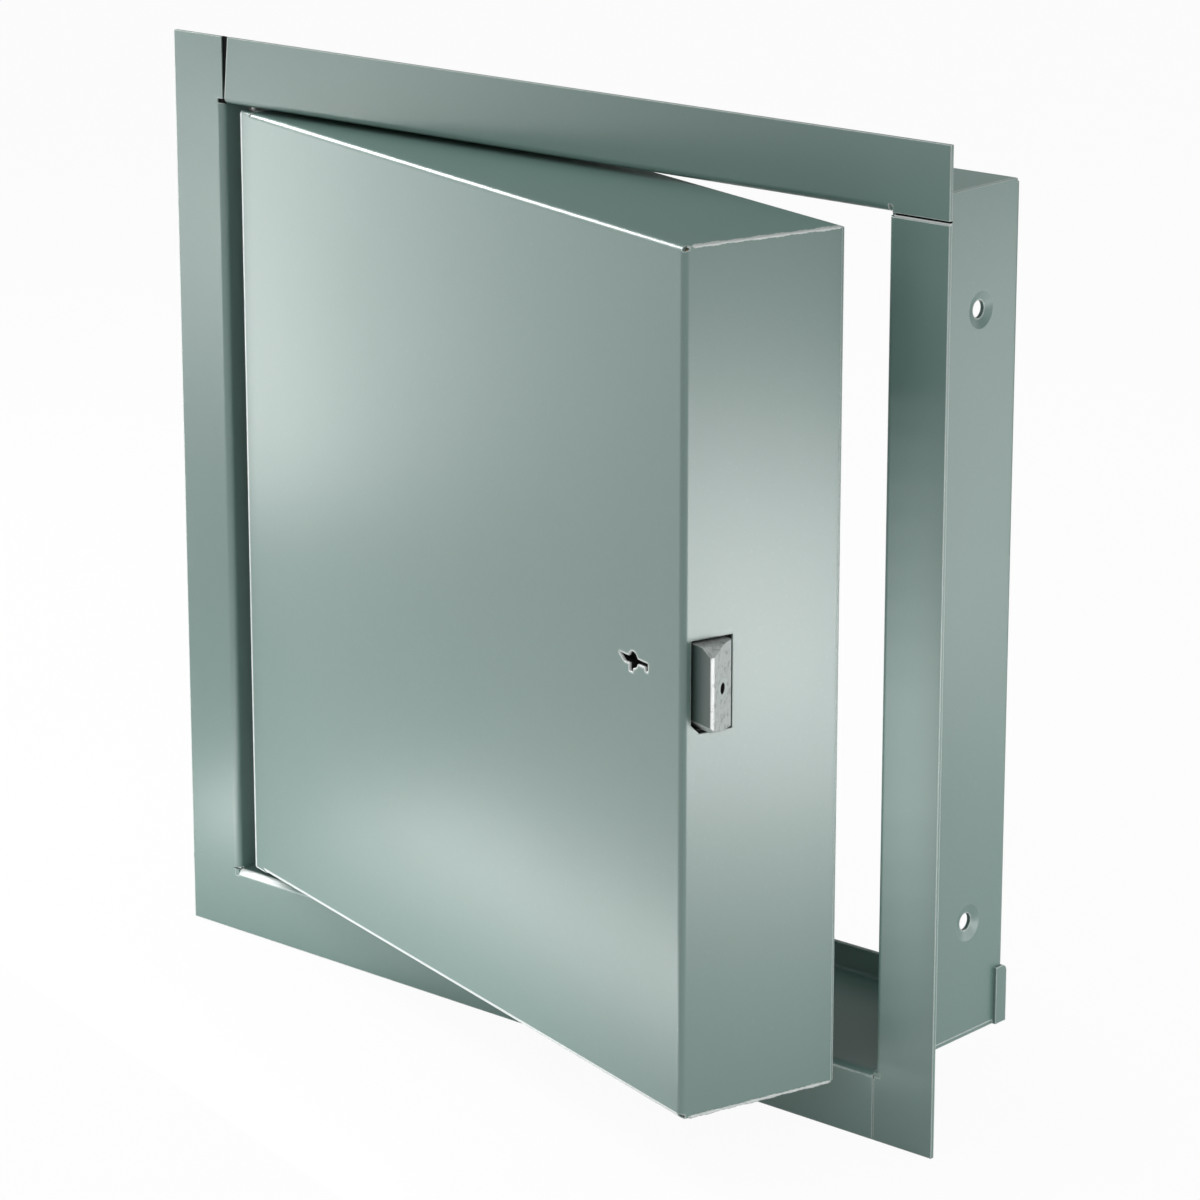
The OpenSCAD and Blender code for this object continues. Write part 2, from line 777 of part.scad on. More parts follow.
// Compression spring between the end of the case and the tail of the bolt
module latch_spring() {
  turns = 7;
  steps = 12;
  sides = 8;
  rings = turns * steps;
  travel = spring_len - 2 * (spring_wire_r + spring_seat_gap);
  start_x = case_end_x + spring_wire_r + spring_seat_gap;
  points = [for (i = [0 : rings]) each spring_ring(360 * i / steps, start_x + travel * i / rings, sides)];
  walls = [for (i = [0 : rings - 1]) for (k = [0 : sides - 1])
    let (n = (k + 1) % sides, a = i * sides, b = (i + 1) * sides)
    [a + k, a + n, b + n, b + k]];
  ends = [[for (k = [sides - 1 : -1 : 0]) k], [for (k = [0 : sides - 1]) rings * sides + k]];
  color(zinc)
    door_at_rest()
      translate([0, spring_y, bolt_z])
        polyhedron(points = points, faces = concat(walls, ends), convexity = 10);
}

// Plan of the bolt: nose with a square front, a flat tip and a long slope, and a thinner tail
module bolt_plan() {
  head_x = latch_edge_x - head_len;
  polygon([[head_x, bolt_y0], [latch_edge_x + bolt_throw, bolt_y0],
           [latch_edge_x + bolt_throw, bolt_y0 + bolt_tip], [latch_edge_x + bolt_heel, bolt_y1],
           [head_x, bolt_y1], [head_x, tail_y1], [tail_end_x, tail_y1], [tail_end_x, tail_y0],
           [head_x, tail_y0]]);
}

module latch_bolt() {
  z0 = bolt_z - bolt_h / 2;
  z1 = bolt_z + bolt_h / 2;
  tip_x = latch_edge_x + bolt_throw;
  chamfer_x = tip_x - 2 * bolt_chamfer;
  color(primer_dark)
    door_at_rest()
      difference() {
        union() {
          intersection() {
            translate([0, 0, z0])
              linear_extrude(bolt_h)
                bolt_plan();
            translate([tail_end_x, 0, 0])
              rotate([90, 0, 90])
                linear_extrude(tip_x - tail_end_x)
                  nose_section(0);
            prism_y(bolt_y0, bolt_y1)
              polygon([[tail_end_x, z0], [chamfer_x, z0], [tip_x, z0 + bolt_chamfer],
                       [tip_x, z1 - bolt_chamfer], [chamfer_x, z1], [tail_end_x, z1]]);
          }
          translate([tail_end_x - spring_pin_len, spring_y, bolt_z])
            rotate([0, 90, 0])
              cylinder(r = spring_pin_r, h = spring_pin_len + tail_wall / 2);
        }
        translate([slot_x - slot_half_w, tail_y0 - cut, slot_bottom])
          cube([2 * slot_half_w, tail_t + 2 * cut, slot_top - slot_bottom]);
        translate([release_x, tail_y1 - release_bore, release_z])
          rotate([-90, 0, 0])
            cylinder(r = release_r + fit_clear, h = release_bore + cut);
        nose_rivet_shape(fit_clear, 0);
      }
}

// Rivet set square into the slope of the nose, with a hollow end
module nose_rivet_shape(grow, hollow_r) {
  slope = atan2(bolt_throw - bolt_heel, bolt_t - bolt_tip);
  mid_x = latch_edge_x + (bolt_throw + bolt_heel) / 2;
  mid_y = bolt_y0 + (bolt_t + bolt_tip) / 2;
  translate([mid_x, mid_y, bolt_z])
    rotate([0, 0, slope])
      rotate([0, 90, 0])
        difference() {
          translate([0, 0, -nose_rivet_len])
            cylinder(r = nose_rivet_r + grow, h = nose_rivet_len + 2 * grow);
          if (hollow_r > 0)
            translate([0, 0, -hollow_r])
              cylinder(r = hollow_r, h = hollow_r + cut);
        }
}

module bolt_nose_rivet() {
  color(bare_steel)
    door_at_rest()
      nose_rivet_shape(0, nose_hollow_r);
}

module release_rod() {
  color(zinc)
    door_at_rest()
      translate([release_x, tail_y1 - release_bore, release_z])
        rotate([-90, 0, 0])
          cylinder(r = release_r, h = release_end_y - tail_y1 + release_bore);
}

// Turned knob with a waist, bored for the release rod
module release_knob() {
  waist_r = release_knob_r * 0.62;
  color(black_plastic)
    door_at_rest()
      translate([release_x, door_back_y + knob_gap, release_z])
        rotate([-90, 0, 0])
          rotate_extrude()
            polygon([[release_r + fit_clear, 0], [waist_r, 0], [waist_r, knob_h * 0.35],
                     [release_knob_r, knob_h * 0.55], [release_knob_r, knob_h * 0.85],
                     [release_knob_r * 0.85, knob_h], [release_r + fit_clear, knob_h]]);
}

// Key cam: a hub in the guide ring, cut with the keyhole, and the crank for the drive pin
module key_cam() {
  crank_a = key_swing / 2;
  crank_end_r = drive_pin_r + 1;
  color(zinc)
    door_at_rest()
      translate([key_x, 0, key_rise])
        difference() {
          union() {
            prism_y(pan_inner_y + cam_gap, cam_y1)
              circle(hub_r);
            prism_y(cam_y0, cam_y1)
              rotate(crank_a) {
                translate([-crank_end_r, -crank_r])
                  square([2 * crank_end_r, crank_r]);
                translate([0, -crank_r])
                  circle(crank_end_r);
              }
          }
          prism_y(pan_inner_y - cut, cam_y0 + cam_t / 4)
            keyhole();
          translate([crank_r * sin(crank_a), cam_y0 - cut, -crank_r * cos(crank_a)])
            rotate([-90, 0, 0])
              cylinder(r = drive_pin_r + fit_clear, h = cam_t + 2 * cut);
        }
}

module cam_drive_pin() {
  crank_a = key_swing / 2;
  color(bare_steel)
    door_at_rest()
      translate([key_x + crank_r * sin(crank_a), cam_y0, key_rise - crank_r * cos(crank_a)])
        rotate([-90, 0, 0])
          cylinder(r = drive_pin_r, h = tail_y1 - cam_y0 - cam_gap);
}

frame_head();
frame_sill();
frame_hinge_jamb();
frame_latch_jamb();
strike_plate();
hinge_frame_leaf();
hinge_pin();
frame_leaf_rivets();
door_pan();
door_back_cover();
back_cover_screws();
insulation_core();
hinge_door_leaf();
door_leaf_rivets();
latch_case();
latch_case_studs();
latch_case_nuts();
key_guide();
latch_spring();
latch_bolt();
bolt_nose_rivet();
release_rod();
release_knob();
key_cam();
cam_drive_pin();
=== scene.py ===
"""Looks of an insulated access panel: primer paint, plated hardware, weld beads, screw and
rivet heads, and a plain pale studio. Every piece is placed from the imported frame, in metres."""

import json

import bmesh
import bpy
import numpy as np
from bpy.props import FloatProperty, FloatVectorProperty, PointerProperty
from bpy.types import Operator, Panel, PropertyGroup
from mathutils import Matrix, Vector


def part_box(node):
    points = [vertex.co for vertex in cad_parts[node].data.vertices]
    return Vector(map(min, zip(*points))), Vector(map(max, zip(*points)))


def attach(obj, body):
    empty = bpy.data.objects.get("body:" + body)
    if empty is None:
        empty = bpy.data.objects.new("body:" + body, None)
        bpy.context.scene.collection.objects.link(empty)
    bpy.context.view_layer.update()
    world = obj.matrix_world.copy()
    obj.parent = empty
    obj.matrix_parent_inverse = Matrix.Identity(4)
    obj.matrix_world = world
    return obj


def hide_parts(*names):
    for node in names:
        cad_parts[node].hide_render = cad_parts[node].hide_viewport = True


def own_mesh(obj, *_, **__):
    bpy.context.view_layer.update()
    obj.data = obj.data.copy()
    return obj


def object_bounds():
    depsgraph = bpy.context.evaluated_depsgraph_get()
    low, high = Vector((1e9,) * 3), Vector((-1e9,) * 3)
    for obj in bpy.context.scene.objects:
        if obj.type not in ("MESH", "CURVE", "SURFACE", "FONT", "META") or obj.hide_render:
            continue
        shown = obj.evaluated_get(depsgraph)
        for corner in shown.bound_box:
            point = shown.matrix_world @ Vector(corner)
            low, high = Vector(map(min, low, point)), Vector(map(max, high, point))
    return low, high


bl_info = {
    "name": "Access panel looks",
    "version": (1, 0, 0),
    "blender": (4, 5, 0),
    "location": "View3D > Sidebar > Access panel",
    "description": "Finishes and small fittings of an insulated access panel, and its studio",
    "category": "Object",
}

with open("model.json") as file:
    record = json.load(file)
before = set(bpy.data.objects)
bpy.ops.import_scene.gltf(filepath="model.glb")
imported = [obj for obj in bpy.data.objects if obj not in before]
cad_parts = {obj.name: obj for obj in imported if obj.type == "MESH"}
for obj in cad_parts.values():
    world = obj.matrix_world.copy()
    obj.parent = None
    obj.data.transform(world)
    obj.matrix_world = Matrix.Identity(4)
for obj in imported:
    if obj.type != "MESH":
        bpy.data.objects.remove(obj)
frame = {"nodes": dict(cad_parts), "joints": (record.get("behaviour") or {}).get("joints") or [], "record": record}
CAD_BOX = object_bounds()
MM = 0.001

# Rays with which a rounded edge is found
EDGE_SAMPLES = 6

# The hinge, and the turn about +Z that takes the shut door to its rest pose
JOINTS = {joint["name"]: joint for joint in frame["joints"]}
HINGE_AT = np.array(JOINTS["door_hinge"]["pos_m"])
DOOR_TURN = np.radians(JOINTS["door_hinge"]["range_deg"][0])

# The key's axis, and the direction in which the slope of the bolt faces at rest
KEY_AT = np.array(JOINTS["key_turn"]["pos_m"])
KEY_AXIS = np.array(JOINTS["key_turn"]["axis"])
BOLT_AXIS = np.array(JOINTS["bolt_slide"]["axis"])
SLOPE_LEAN = np.radians(34.4)
SLOPE_FACING = np.cos(SLOPE_LEAN) * BOLT_AXIS + np.sin(SLOPE_LEAN) * KEY_AXIS

# Reach from the key's axis over which the keyhole's bare steel and painted highlight end, and how wide the painted
# highlight round its rim is
KEYHOLE_REACH = (10.0 * MM, 11.0 * MM)
RIM_HIGHLIGHT_RADIUS = 1.6 * MM

# Where the door's front faces at rest, and the way down to its hinge corner
DOOR_FRONT = -KEY_AXIS
HINGE_CORNER = (np.array([0.0, 0.0, -1.0]) - BOLT_AXIS) / np.sqrt(2)

# Distance from the door's hinge edge over which the band of painted highlight on its face ends
HINGE_HIGHLIGHT_BAND = (1.2 * MM, 2.2 * MM)

# Where the sill's bend between its flange and wall faces, and the X and Y over which its painted highlight ends
SILL_BEND = np.array([0.0, -1.0, 1.0]) / np.sqrt(2)
SILL_END_X = (-0.142, -0.125)
SILL_END_Y = (5.0 * MM, 8.0 * MM)

# How far behind the door's face the weld beads start
BEAD_START = 3.0 * MM

# Rivets: height of each end, radius of the shank and of the set end as shares of the head's, and the depths
# below the bolt's rivet's rim between which its hollow turns from black painted shade to bright
RIVET_END = 1.1 * MM
RIVET_SHANK = 0.53
RIVET_SET = 0.8
RIVET_HOLLOW = (0.3 * MM, 0.1 * MM)

# How much wider a screw's head is at its foot
HEAD_FLARE = 1.04

# Where the softboxes point, and the spread in degrees of a lamp that shines to all sides
MIDDLE = (0.0, 0.0, 0.0)
ALL_SIDES = 180.0

# Lamps: name, place, aim, size, radiance and spread. Three softboxes light the whole panel, and small cards
# give its faces their sheen.
LAMPS = (
    ("key_softbox", (-0.65, -0.93, 1.13), MIDDLE, (0.9, 0.9), 1.5, ALL_SIDES),
    ("right_softbox", (0.80, -1.13, 0.80), MIDDLE, (0.8, 0.8), 1.5, ALL_SIDES),
    ("left_softbox", (-1.02, -0.05, 0.64), MIDDLE, (0.35, 0.35), 25.0, ALL_SIDES),
    ("door_card", (-0.45, -0.06, 0.04), (0.0, -0.06, 0.04), (0.12, 0.25), 3.2, ALL_SIDES),
    ("flange_card", (-0.70, -0.58, -0.04), (-0.17, 0.0, 0.14), (0.12, 0.14), 12.0, 32.0),
    ("floor_card", (-0.0935, -0.124, -0.163), (-0.0665, -0.028, -0.13), (0.333, 0.025), 4.2, ALL_SIDES),
    ("latch_card", (0.50, 0.05, -0.09), (0.14, -0.05, 0.0), (0.16, 0.14), 7.3, ALL_SIDES),
    ("wall_card", (0.47, 0.38, -0.05), (0.16, 0.04, 0.0), (0.25, 0.25), 1.4, ALL_SIDES),
)

# The latch jamb's card: strips of growing height in front of a point of the flange, each a little farther off
# than the last, so that together they fade upwards and downwards. The reach goes from the first to the point.
JAMB_AIM = np.array([0.172, -0.0015, -0.0376])
JAMB_REACH = np.array([0.0103, 0.0137, 0.0])
JAMB_GAP = 0.01
JAMB_WIDTH = 0.026
JAMB_HEIGHTS = np.linspace(0.05, 0.25, 8)
JAMB_RADIANCE = 2.2
JAMB_SPREAD = 110.0

# Half the side of the floor
FLOOR_HALF = 9.0


def turn_door(points, angle=DOOR_TURN):
    """Turns points about the hinge axis by an angle: x' = x cos a - y sin a, y' = x sin a + y cos a."""
    c, s = np.cos(angle), np.sin(angle)
    turn = np.array([[c, -s, 0.0], [s, c, 0.0], [0.0, 0.0, 1.0]])
    return (points - HINGE_AT) @ turn.T + HINGE_AT


def node_points(node):
    """Vertices of a CAD node at rest, one row each."""
    mesh = frame["nodes"][node].data
    flat = np.empty(len(mesh.vertices) * 3)
    mesh.vertices.foreach_get("co", flat)
    return flat.reshape(-1, 3)


def shut_points(node):
    """Vertices of a node of the door, with the door turned shut."""
    return turn_door(node_points(node), -DOOR_TURN)


def solids_along(points, axes, gap=2 * MM):
    """Splits the points of like solids into one array each, at every gap along the given axes."""
    groups = [points]
    for axis in axes:
        split = []
        for group in groups:
            ordered = group[np.argsort(group[:, axis], kind="stable")]
            cuts = np.flatnonzero(np.diff(ordered[:, axis]) > gap) + 1
            split.extend(np.split(ordered, cuts))
        groups = split
    return groups


def grid_faces(grid, wrap=False):
    """Points and quads of a grid of points (rows, columns, 3). With wrap the last row meets the first."""
    rows, columns = grid.shape[:2]
    index = np.arange(rows * columns).reshape(rows, columns)
    if wrap:
        index = np.vstack([index, index[:1]])
    quads = np.stack([index[:-1, :-1], index[1:, :-1], index[1:, 1:], index[:-1, 1:]], axis=-1)
    return grid.reshape(-1, 3), quads.reshape(-1, 4)


def build_piece(name, surfaces, body, material, sharp_deg=35.0):
    """One object from surfaces of points and quads: doubles merged, faces outwards, riding on a body."""
    offsets = np.cumsum([0] + [len(points) for points, _ in surfaces[:-1]])
    points = np.concatenate([points for points, _ in surfaces])
    quads = np.concatenate([quads + offset for (_, quads), offset in zip(surfaces, offsets)])
    mesh = bpy.data.meshes.new(name)
    mesh.from_pydata(points.tolist(), [], quads.tolist())
    merged = bmesh.new()
    merged.from_mesh(mesh)
    bmesh.ops.remove_doubles(merged, verts=merged.verts, dist=0.001 * MM)
    bmesh.ops.dissolve_degenerate(merged, edges=merged.edges, dist=0.001 * MM)
    bmesh.ops.recalc_face_normals(merged, faces=merged.faces)
    merged.to_mesh(mesh)
    merged.free()
    mesh.polygons.foreach_set("use_smooth", np.ones(len(mesh.polygons), bool))
    mesh.set_sharp_from_angle(angle=np.radians(sharp_deg))
    piece = bpy.data.objects.new(name, mesh)
    bpy.context.scene.collection.objects.link(piece)
    mesh.materials.append(material)
    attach(piece, body)
    return piece


class Wire:
    """A node's output. Expressions on wires and numbers add Math nodes to the same material."""

    def __init__(self, shade, socket):
        self.shade = shade
        self.socket = socket

    def __add__(self, other):
        return self.shade.math("ADD", self, other)

    __radd__ = __add__

    def __mul__(self, other):
        return self.shade.math("MULTIPLY", self, other)

    __rmul__ = __mul__

    def __sub__(self, other):
        return self.shade.math("SUBTRACT", self, other)

    def __rsub__(self, other):
        return self.shade.math("SUBTRACT", other, self)


class Shade:
    """A node material, or the world's nodes, in the making."""

    def __init__(self, name, holder=None):
        self.holder = holder or bpy.data.materials.new(name)
        self.holder.use_nodes = True
        self.tree = self.holder.node_tree
        self.tree.nodes.clear()

    def add(self, kind, settings=None, sockets=None, out=0):
        """Adds a node of a type: settings first, then its sockets' values or links. Gives one output."""
        node = self.tree.nodes.new(kind)
        for key, value in (settings or {}).items():
            setattr(node, key, value)
        inputs = {socket.identifier: socket for socket in node.inputs}
        for key, value in (sockets or {}).items():
            if isinstance(value, Wire):
                self.tree.links.new(value.socket, inputs[key])
            else:
                inputs[key].default_value = value
        return Wire(self, node.outputs[out]) if len(node.outputs) else node

    def math(self, operation, first, second):
        return self.add("ShaderNodeMath", {"operation": operation}, {"Value": first, "Value_001": second})

    def blend(self, first, second, factor):
        """Mix of two colours, which is the node's third output."""
        sockets = {"Factor_Float": factor, "A_Color": first, "B_Color": second}
        return self.add("ShaderNodeMix", {"data_type": "RGBA"}, sockets, out=2)

    def place(self):
        """Object coordinates, which are the row frame's metres."""
        return self.add("ShaderNodeTexCoord", out="Object")

    def along(self, direction):
        """How far the place lies along a direction of the row frame."""
        return self.vector("DOT_PRODUCT", self.place(), tuple(direction), "Value")

    def noise(self, scale, detail, rough=0.5, stretch=(1.0, 1.0, 1.0)):
        """Noise from 0 to 1 with a scale in cells per metre, drawn out along an axis by stretch."""
        mapped = self.add("ShaderNodeMapping", None, {"Vector": self.place(), "Scale": stretch})
        sockets = {"Vector": mapped, "Scale": scale, "Detail": detail, "Roughness": rough}
        return self.add("ShaderNodeTexNoise", None, sockets)

    def ramp(self, value, low, high):
        """Smooth step from 0 at low to 1 at high."""
        sockets = {"Value": value, "From Min": low, "From Max": high}
        return self.add("ShaderNodeMapRange", {"interpolation_type": "SMOOTHSTEP"}, sockets)

    def vector(self, operation, first, second=(0.0, 0.0, 0.0), out="Vector"):
        sockets = {"Vector": first, "Vector_001": second}
        return self.add("ShaderNodeVectorMath", {"operation": operation}, sockets, out)

    def rounded(self, radius):
        """Normal as if every edge were rounded over a radius."""
        return self.add("ShaderNodeBevel", {"samples": EDGE_SAMPLES}, {"Radius": radius})

    def edge(self, rounded, low, high):
        """Mask of edges: how far the rounded normal leans from the face's own."""
        true = self.add("ShaderNodeNewGeometry", out="True Normal")
        return self.ramp(1 - self.vector("DOT_PRODUCT", rounded, true, "Value"), low, high)

    def facing(self, direction):
        """Cosine between the surface's normal and a direction of the row frame."""
        normal = self.add("ShaderNodeTexCoord", out="Normal")
        return self.vector("DOT_PRODUCT", normal, tuple(direction), "Value")

    def bump(self, height, distance, strength, normal=None):
        sockets = {"Height": height, "Distance": distance, "Strength": strength}
        if normal is not None:
            sockets["Normal"] = normal
        return self.add("ShaderNodeBump", None, sockets)

    def surface(self, sockets):
        """Ends the material in a Principled shader with these sockets."""
        shader = self.add("ShaderNodeBsdfPrincipled", None, sockets)
        self.add("ShaderNodeOutputMaterial", None, {"Surface": shader})
        return self.holder


def rgba(colour):
    return (*colour, 1.0)


def keyhole_cut_and_highlight(shade):
    """1 on the cut walls of the keyhole, which are square to the door's face, and on a painted highlight round its
    rim where the rounded edge leans."""
    offset = shade.vector("SUBTRACT", shade.place(), tuple(KEY_AT))
    reach = shade.vector("LENGTH", shade.vector("CROSS_PRODUCT", offset, tuple(KEY_AXIS)), out="Value")
    near = 1 - shade.ramp(reach, *KEYHOLE_REACH)
    level = shade.math("ABSOLUTE", shade.facing(KEY_AXIS), 0.0)
    cut = 1 - shade.ramp(level, 0.3, 0.6)
    # Painted highlight: a pale ring on the face round the keyhole's rim
    rubbed_and_lit = shade.edge(shade.rounded(RIM_HIGHLIGHT_RADIUS), 0.01, 0.10)
    return near * shade.math("MAXIMUM", cut, rubbed_and_lit)


def bend_highlights(shade):
    """1 on the bends at the door's hinge side and bottom, which face half to the front and half outwards, and
    on a narrow band of the face along the hinge side: a painted highlight on these edges."""
    edge = float((node_points("door_pan") @ BOLT_AXIS).min())
    band = 1 - shade.ramp(shade.along(BOLT_AXIS), edge + HINGE_HIGHLIGHT_BAND[0], edge + HINGE_HIGHLIGHT_BAND[1])
    bends = shade.math("MAXIMUM", band, shade.ramp(shade.facing(HINGE_CORNER), 0.02, 0.12))
    return shade.ramp(shade.facing(DOOR_FRONT), 0.2, 0.5) * bends


def sill_bend_highlight(shade):
    """1 on the front bend of the sill for a short way from the hinge corner: a painted highlight on the bend."""
    beside_hinge = 1 - shade.ramp(shade.along((1.0, 0.0, 0.0)), *SILL_END_X)
    at_front = 1 - shade.ramp(shade.along((0.0, 1.0, 0.0)), *SILL_END_Y)
    return beside_hinge * at_front * shade.ramp(shade.facing(SILL_BEND), 0.75, 0.90)


def door_cut_and_highlights(shade):
    """Where the door's steel shows in the cut keyhole, and where highlights are painted round it and on the bends.
    """
    return shade.math("MAXIMUM", keyhole_cut_and_highlight(shade), bend_highlights(shade))


def primer(name, colour, look, bare=None, edges=1.0):
    """Satin primer on rolled sheet: soft clouds in the colour, orange peel, and pale edges that are partly wear
    and partly painted highlight. Where the mask that bare gives is 1, cut steel or a painted highlight shows.
    With edges at 0 no edge is rounded or made pale."""
    shade = Shade(name)
    colour = np.array(colour)
    clouds = shade.noise(7.0, 3.0)
    specks = shade.noise(700.0, 1.0)
    rounded = shade.rounded(edges * look.edge_radius)
    # Pale edges: partly wear, partly painted highlight
    wear_and_highlight = shade.edge(rounded, 0.005, 0.08)
    tone = shade.blend(rgba(colour), rgba(0.88 * colour), clouds)
    tone = shade.blend(tone, rgba(1.10 * colour), shade.ramp(specks, 0.58, 0.78) * 0.3)
    tone = shade.blend(tone, rgba(look.pale_edge_and_highlight), wear_and_highlight * look.edge_wear_and_highlight)
    if bare is not None:
        tone = shade.blend(tone, rgba(look.cut_steel_and_highlight), bare(shade))
    rough = look.primer_rough + 0.08 * (clouds - 0.5) - 0.06 * wear_and_highlight
    peel = shade.noise(420.0, 2.0, 0.55) + 0.35 * shade.noise(1500.0, 1.0)
    return shade.surface({
        "Base Color": tone,
        "Roughness": rough,
        "IOR": look.primer_ior,
        "Normal": shade.bump(peel, look.peel_height, 0.5, rounded),
    })


def bolt_shade_and_highlight(name, look):
    """Primer on the bolt: dark on its front, which is painted shade, and pale on the slope that meets the strike
    and on its ends, which is partly rubbed steel and partly painted highlight, with patches of grime."""
    shade = Shade(name)
    dark = np.array(look.bolt_shade_colour)
    clouds = shade.noise(160.0, 3.0)
    strokes = shade.noise(900.0, 2.0, 0.6, (1.0, 1.0, 0.12))
    rounded = shade.rounded(look.edge_radius)
    # Painted shade and highlight: faces turned from the front are pale, the front stays dark
    rubbed_and_lit = 1 - shade.ramp(shade.facing(DOOR_FRONT), 0.7, 0.95)
    wear_and_highlight = shade.math("MAXIMUM", rubbed_and_lit, shade.edge(rounded, 0.03, 0.30) * look.edge_wear_and_highlight)
    pale = 0.75 * np.array(look.cut_steel_and_highlight)
    grime = shade.ramp(shade.noise(420.0, 4.0, 0.65), 0.50, 0.66)
    steel = shade.blend(rgba(pale), rgba(0.8 * pale), strokes)
    steel = shade.blend(steel, rgba(0.3 * pale), grime * 0.6)
    return shade.surface({
        "Base Color": shade.blend(shade.blend(rgba(dark), rgba(0.8 * dark), clouds), steel, wear_and_highlight),
        "Roughness": 0.42 + 0.12 * (strokes - 0.5) - 0.08 * wear_and_highlight,
        "IOR": look.primer_ior,
        "Normal": shade.bump(strokes, 0.04 * MM, 0.5, rounded),
    })


def rivet_with_shaded_hollow(name, colour):
    """Steel rivet in the bolt's slope: bright on its rim and black in its hollow, which lies below the
    rim. The black is painted shade of the hollow."""
    shade = Shade(name)
    rim = float((node_points("bolt_nose_rivet") @ SLOPE_FACING).max())
    lit = shade.ramp(shade.along(SLOPE_FACING), rim - RIVET_HOLLOW[0], rim - RIVET_HOLLOW[1])
    turning = shade.noise(1400.0, 3.0, 0.6)
    bright = shade.blend(rgba(colour), rgba(0.7 * np.array(colour)), turning)
    return shade.surface({
        "Base Color": shade.blend((0.004, 0.004, 0.004, 1.0), bright, lit),
        "Roughness": 0.6 - 0.25 * lit,
        "Metallic": 0.4 * lit,
        "Normal": shade.bump(turning, 0.02 * MM, 0.3),
    })


def seam_shade_black(name):
    """Black fill pressed into a seam as painted shade of the gap: dull, with slow lumps."""
    shade = Shade(name)
    lumps = shade.noise(900.0, 3.0)
    return shade.surface({
        "Base Color": shade.blend((0.003, 0.003, 0.003, 1.0), (0.008, 0.008, 0.008, 1.0), lumps),
        "Roughness": 0.8 - 0.1 * lumps,
        "Specular IOR Level": 0.15,
        "Normal": shade.bump(lumps, 0.1 * MM, 0.5),
    })


def painted_shade_steel(name):
    """Blackened steel of the key cam and the latch case, nearly black as painted shade inside the door, with fine
    lighter scuffs.
    """
    shade = Shade(name)
    scuffs = shade.ramp(shade.noise(600.0, 4.0, 0.6), 0.58, 0.75)
    return shade.surface({
        "Base Color": shade.blend((0.008, 0.009, 0.009, 1.0), (0.04, 0.042, 0.042, 1.0), scuffs),
        "Roughness": 0.55 - 0.10 * scuffs,
        "Normal": shade.bump(scuffs, 0.02 * MM, 0.3),
    })


def plated(name, colour, look):
    """Bright zinc plate: cells of slightly different shade and gloss, and fine drawing lines."""
    shade = Shade(name)
    spangle = shade.add("ShaderNodeTexVoronoi", None, {"Vector": shade.place(), "Scale": 350.0}, out="Color")
    shine = shade.add("ShaderNodeSeparateColor", None, {"Color": spangle})
    lines = shade.noise(1800.0, 2.0, 0.6, (1.0, 1.0, 0.05))
    tone = shade.blend(rgba(colour), rgba(0.82 * np.array(colour)), shine)
    return shade.surface({
        "Base Color": tone,
        "Roughness": look.plate_rough + 0.12 * (shine - 0.5) + 0.08 * lines,
        "Metallic": 1.0,
        "Normal": shade.bump(lines, 0.02 * MM, 0.3),
    })


def mill_steel(name, colour):
    """Bare rolled steel: long rolling lines and darker scale in patches."""
    shade = Shade(name)
    lines = shade.noise(2200.0, 3.0, 0.6, (1.0, 1.0, 0.03))
    scale = shade.ramp(shade.noise(60.0, 4.0), 0.45, 0.75)
    tone = shade.blend(rgba(colour), rgba(0.55 * np.array(colour)), scale * 0.7)
    return shade.surface({
        "Base Color": tone,
        "Roughness": 0.34 + 0.16 * lines + 0.12 * scale,
        "Metallic": 1.0,
        "Normal": shade.bump(lines, 0.03 * MM, 0.4),
    })


def wool_board(name, colour):
    """Mineral wool board: matted fibres with darker hollows."""
    shade = Shade(name)
    fibres = shade.noise(500.0, 6.0, 0.7, (1.0, 1.0, 0.25))
    lumps = shade.noise(70.0, 4.0)
    tone = shade.blend(rgba(0.5 * np.array(colour)), rgba(colour), shade.ramp(fibres, 0.3, 0.65))
    return shade.surface({
        "Base Color": tone,
        "Roughness": 0.95 - 0.05 * lumps,
        "Normal": shade.bump(fibres + lumps, 1.2 * MM, 0.8),
    })


def moulded(name, colour):
    """Moulded black plastic with a fine matt grain."""
    shade = Shade(name)
    grain = shade.noise(1600.0, 2.0)
    tone = shade.blend(rgba(colour), rgba(1.6 * np.array(colour)), shade.ramp(grain, 0.5, 0.8))
    return shade.surface({
        "Base Color": tone,
        "Roughness": 0.42 + 0.15 * grain,
        "Normal": shade.bump(grain, 0.05 * MM, 0.4),
    })


def dress(node, material):
    """Puts a material on every slot of a CAD node."""
    for slot in frame["nodes"][node].material_slots:
        slot.material = material


def nodes_of(slot):
    """CAD nodes that the record gives to a material slot."""
    return [part["node"] for part in frame["record"]["subparts"] if part["material_slot"] == slot]


def finish(name):
    """A material of this scene by its name."""
    return bpy.data.materials[name]


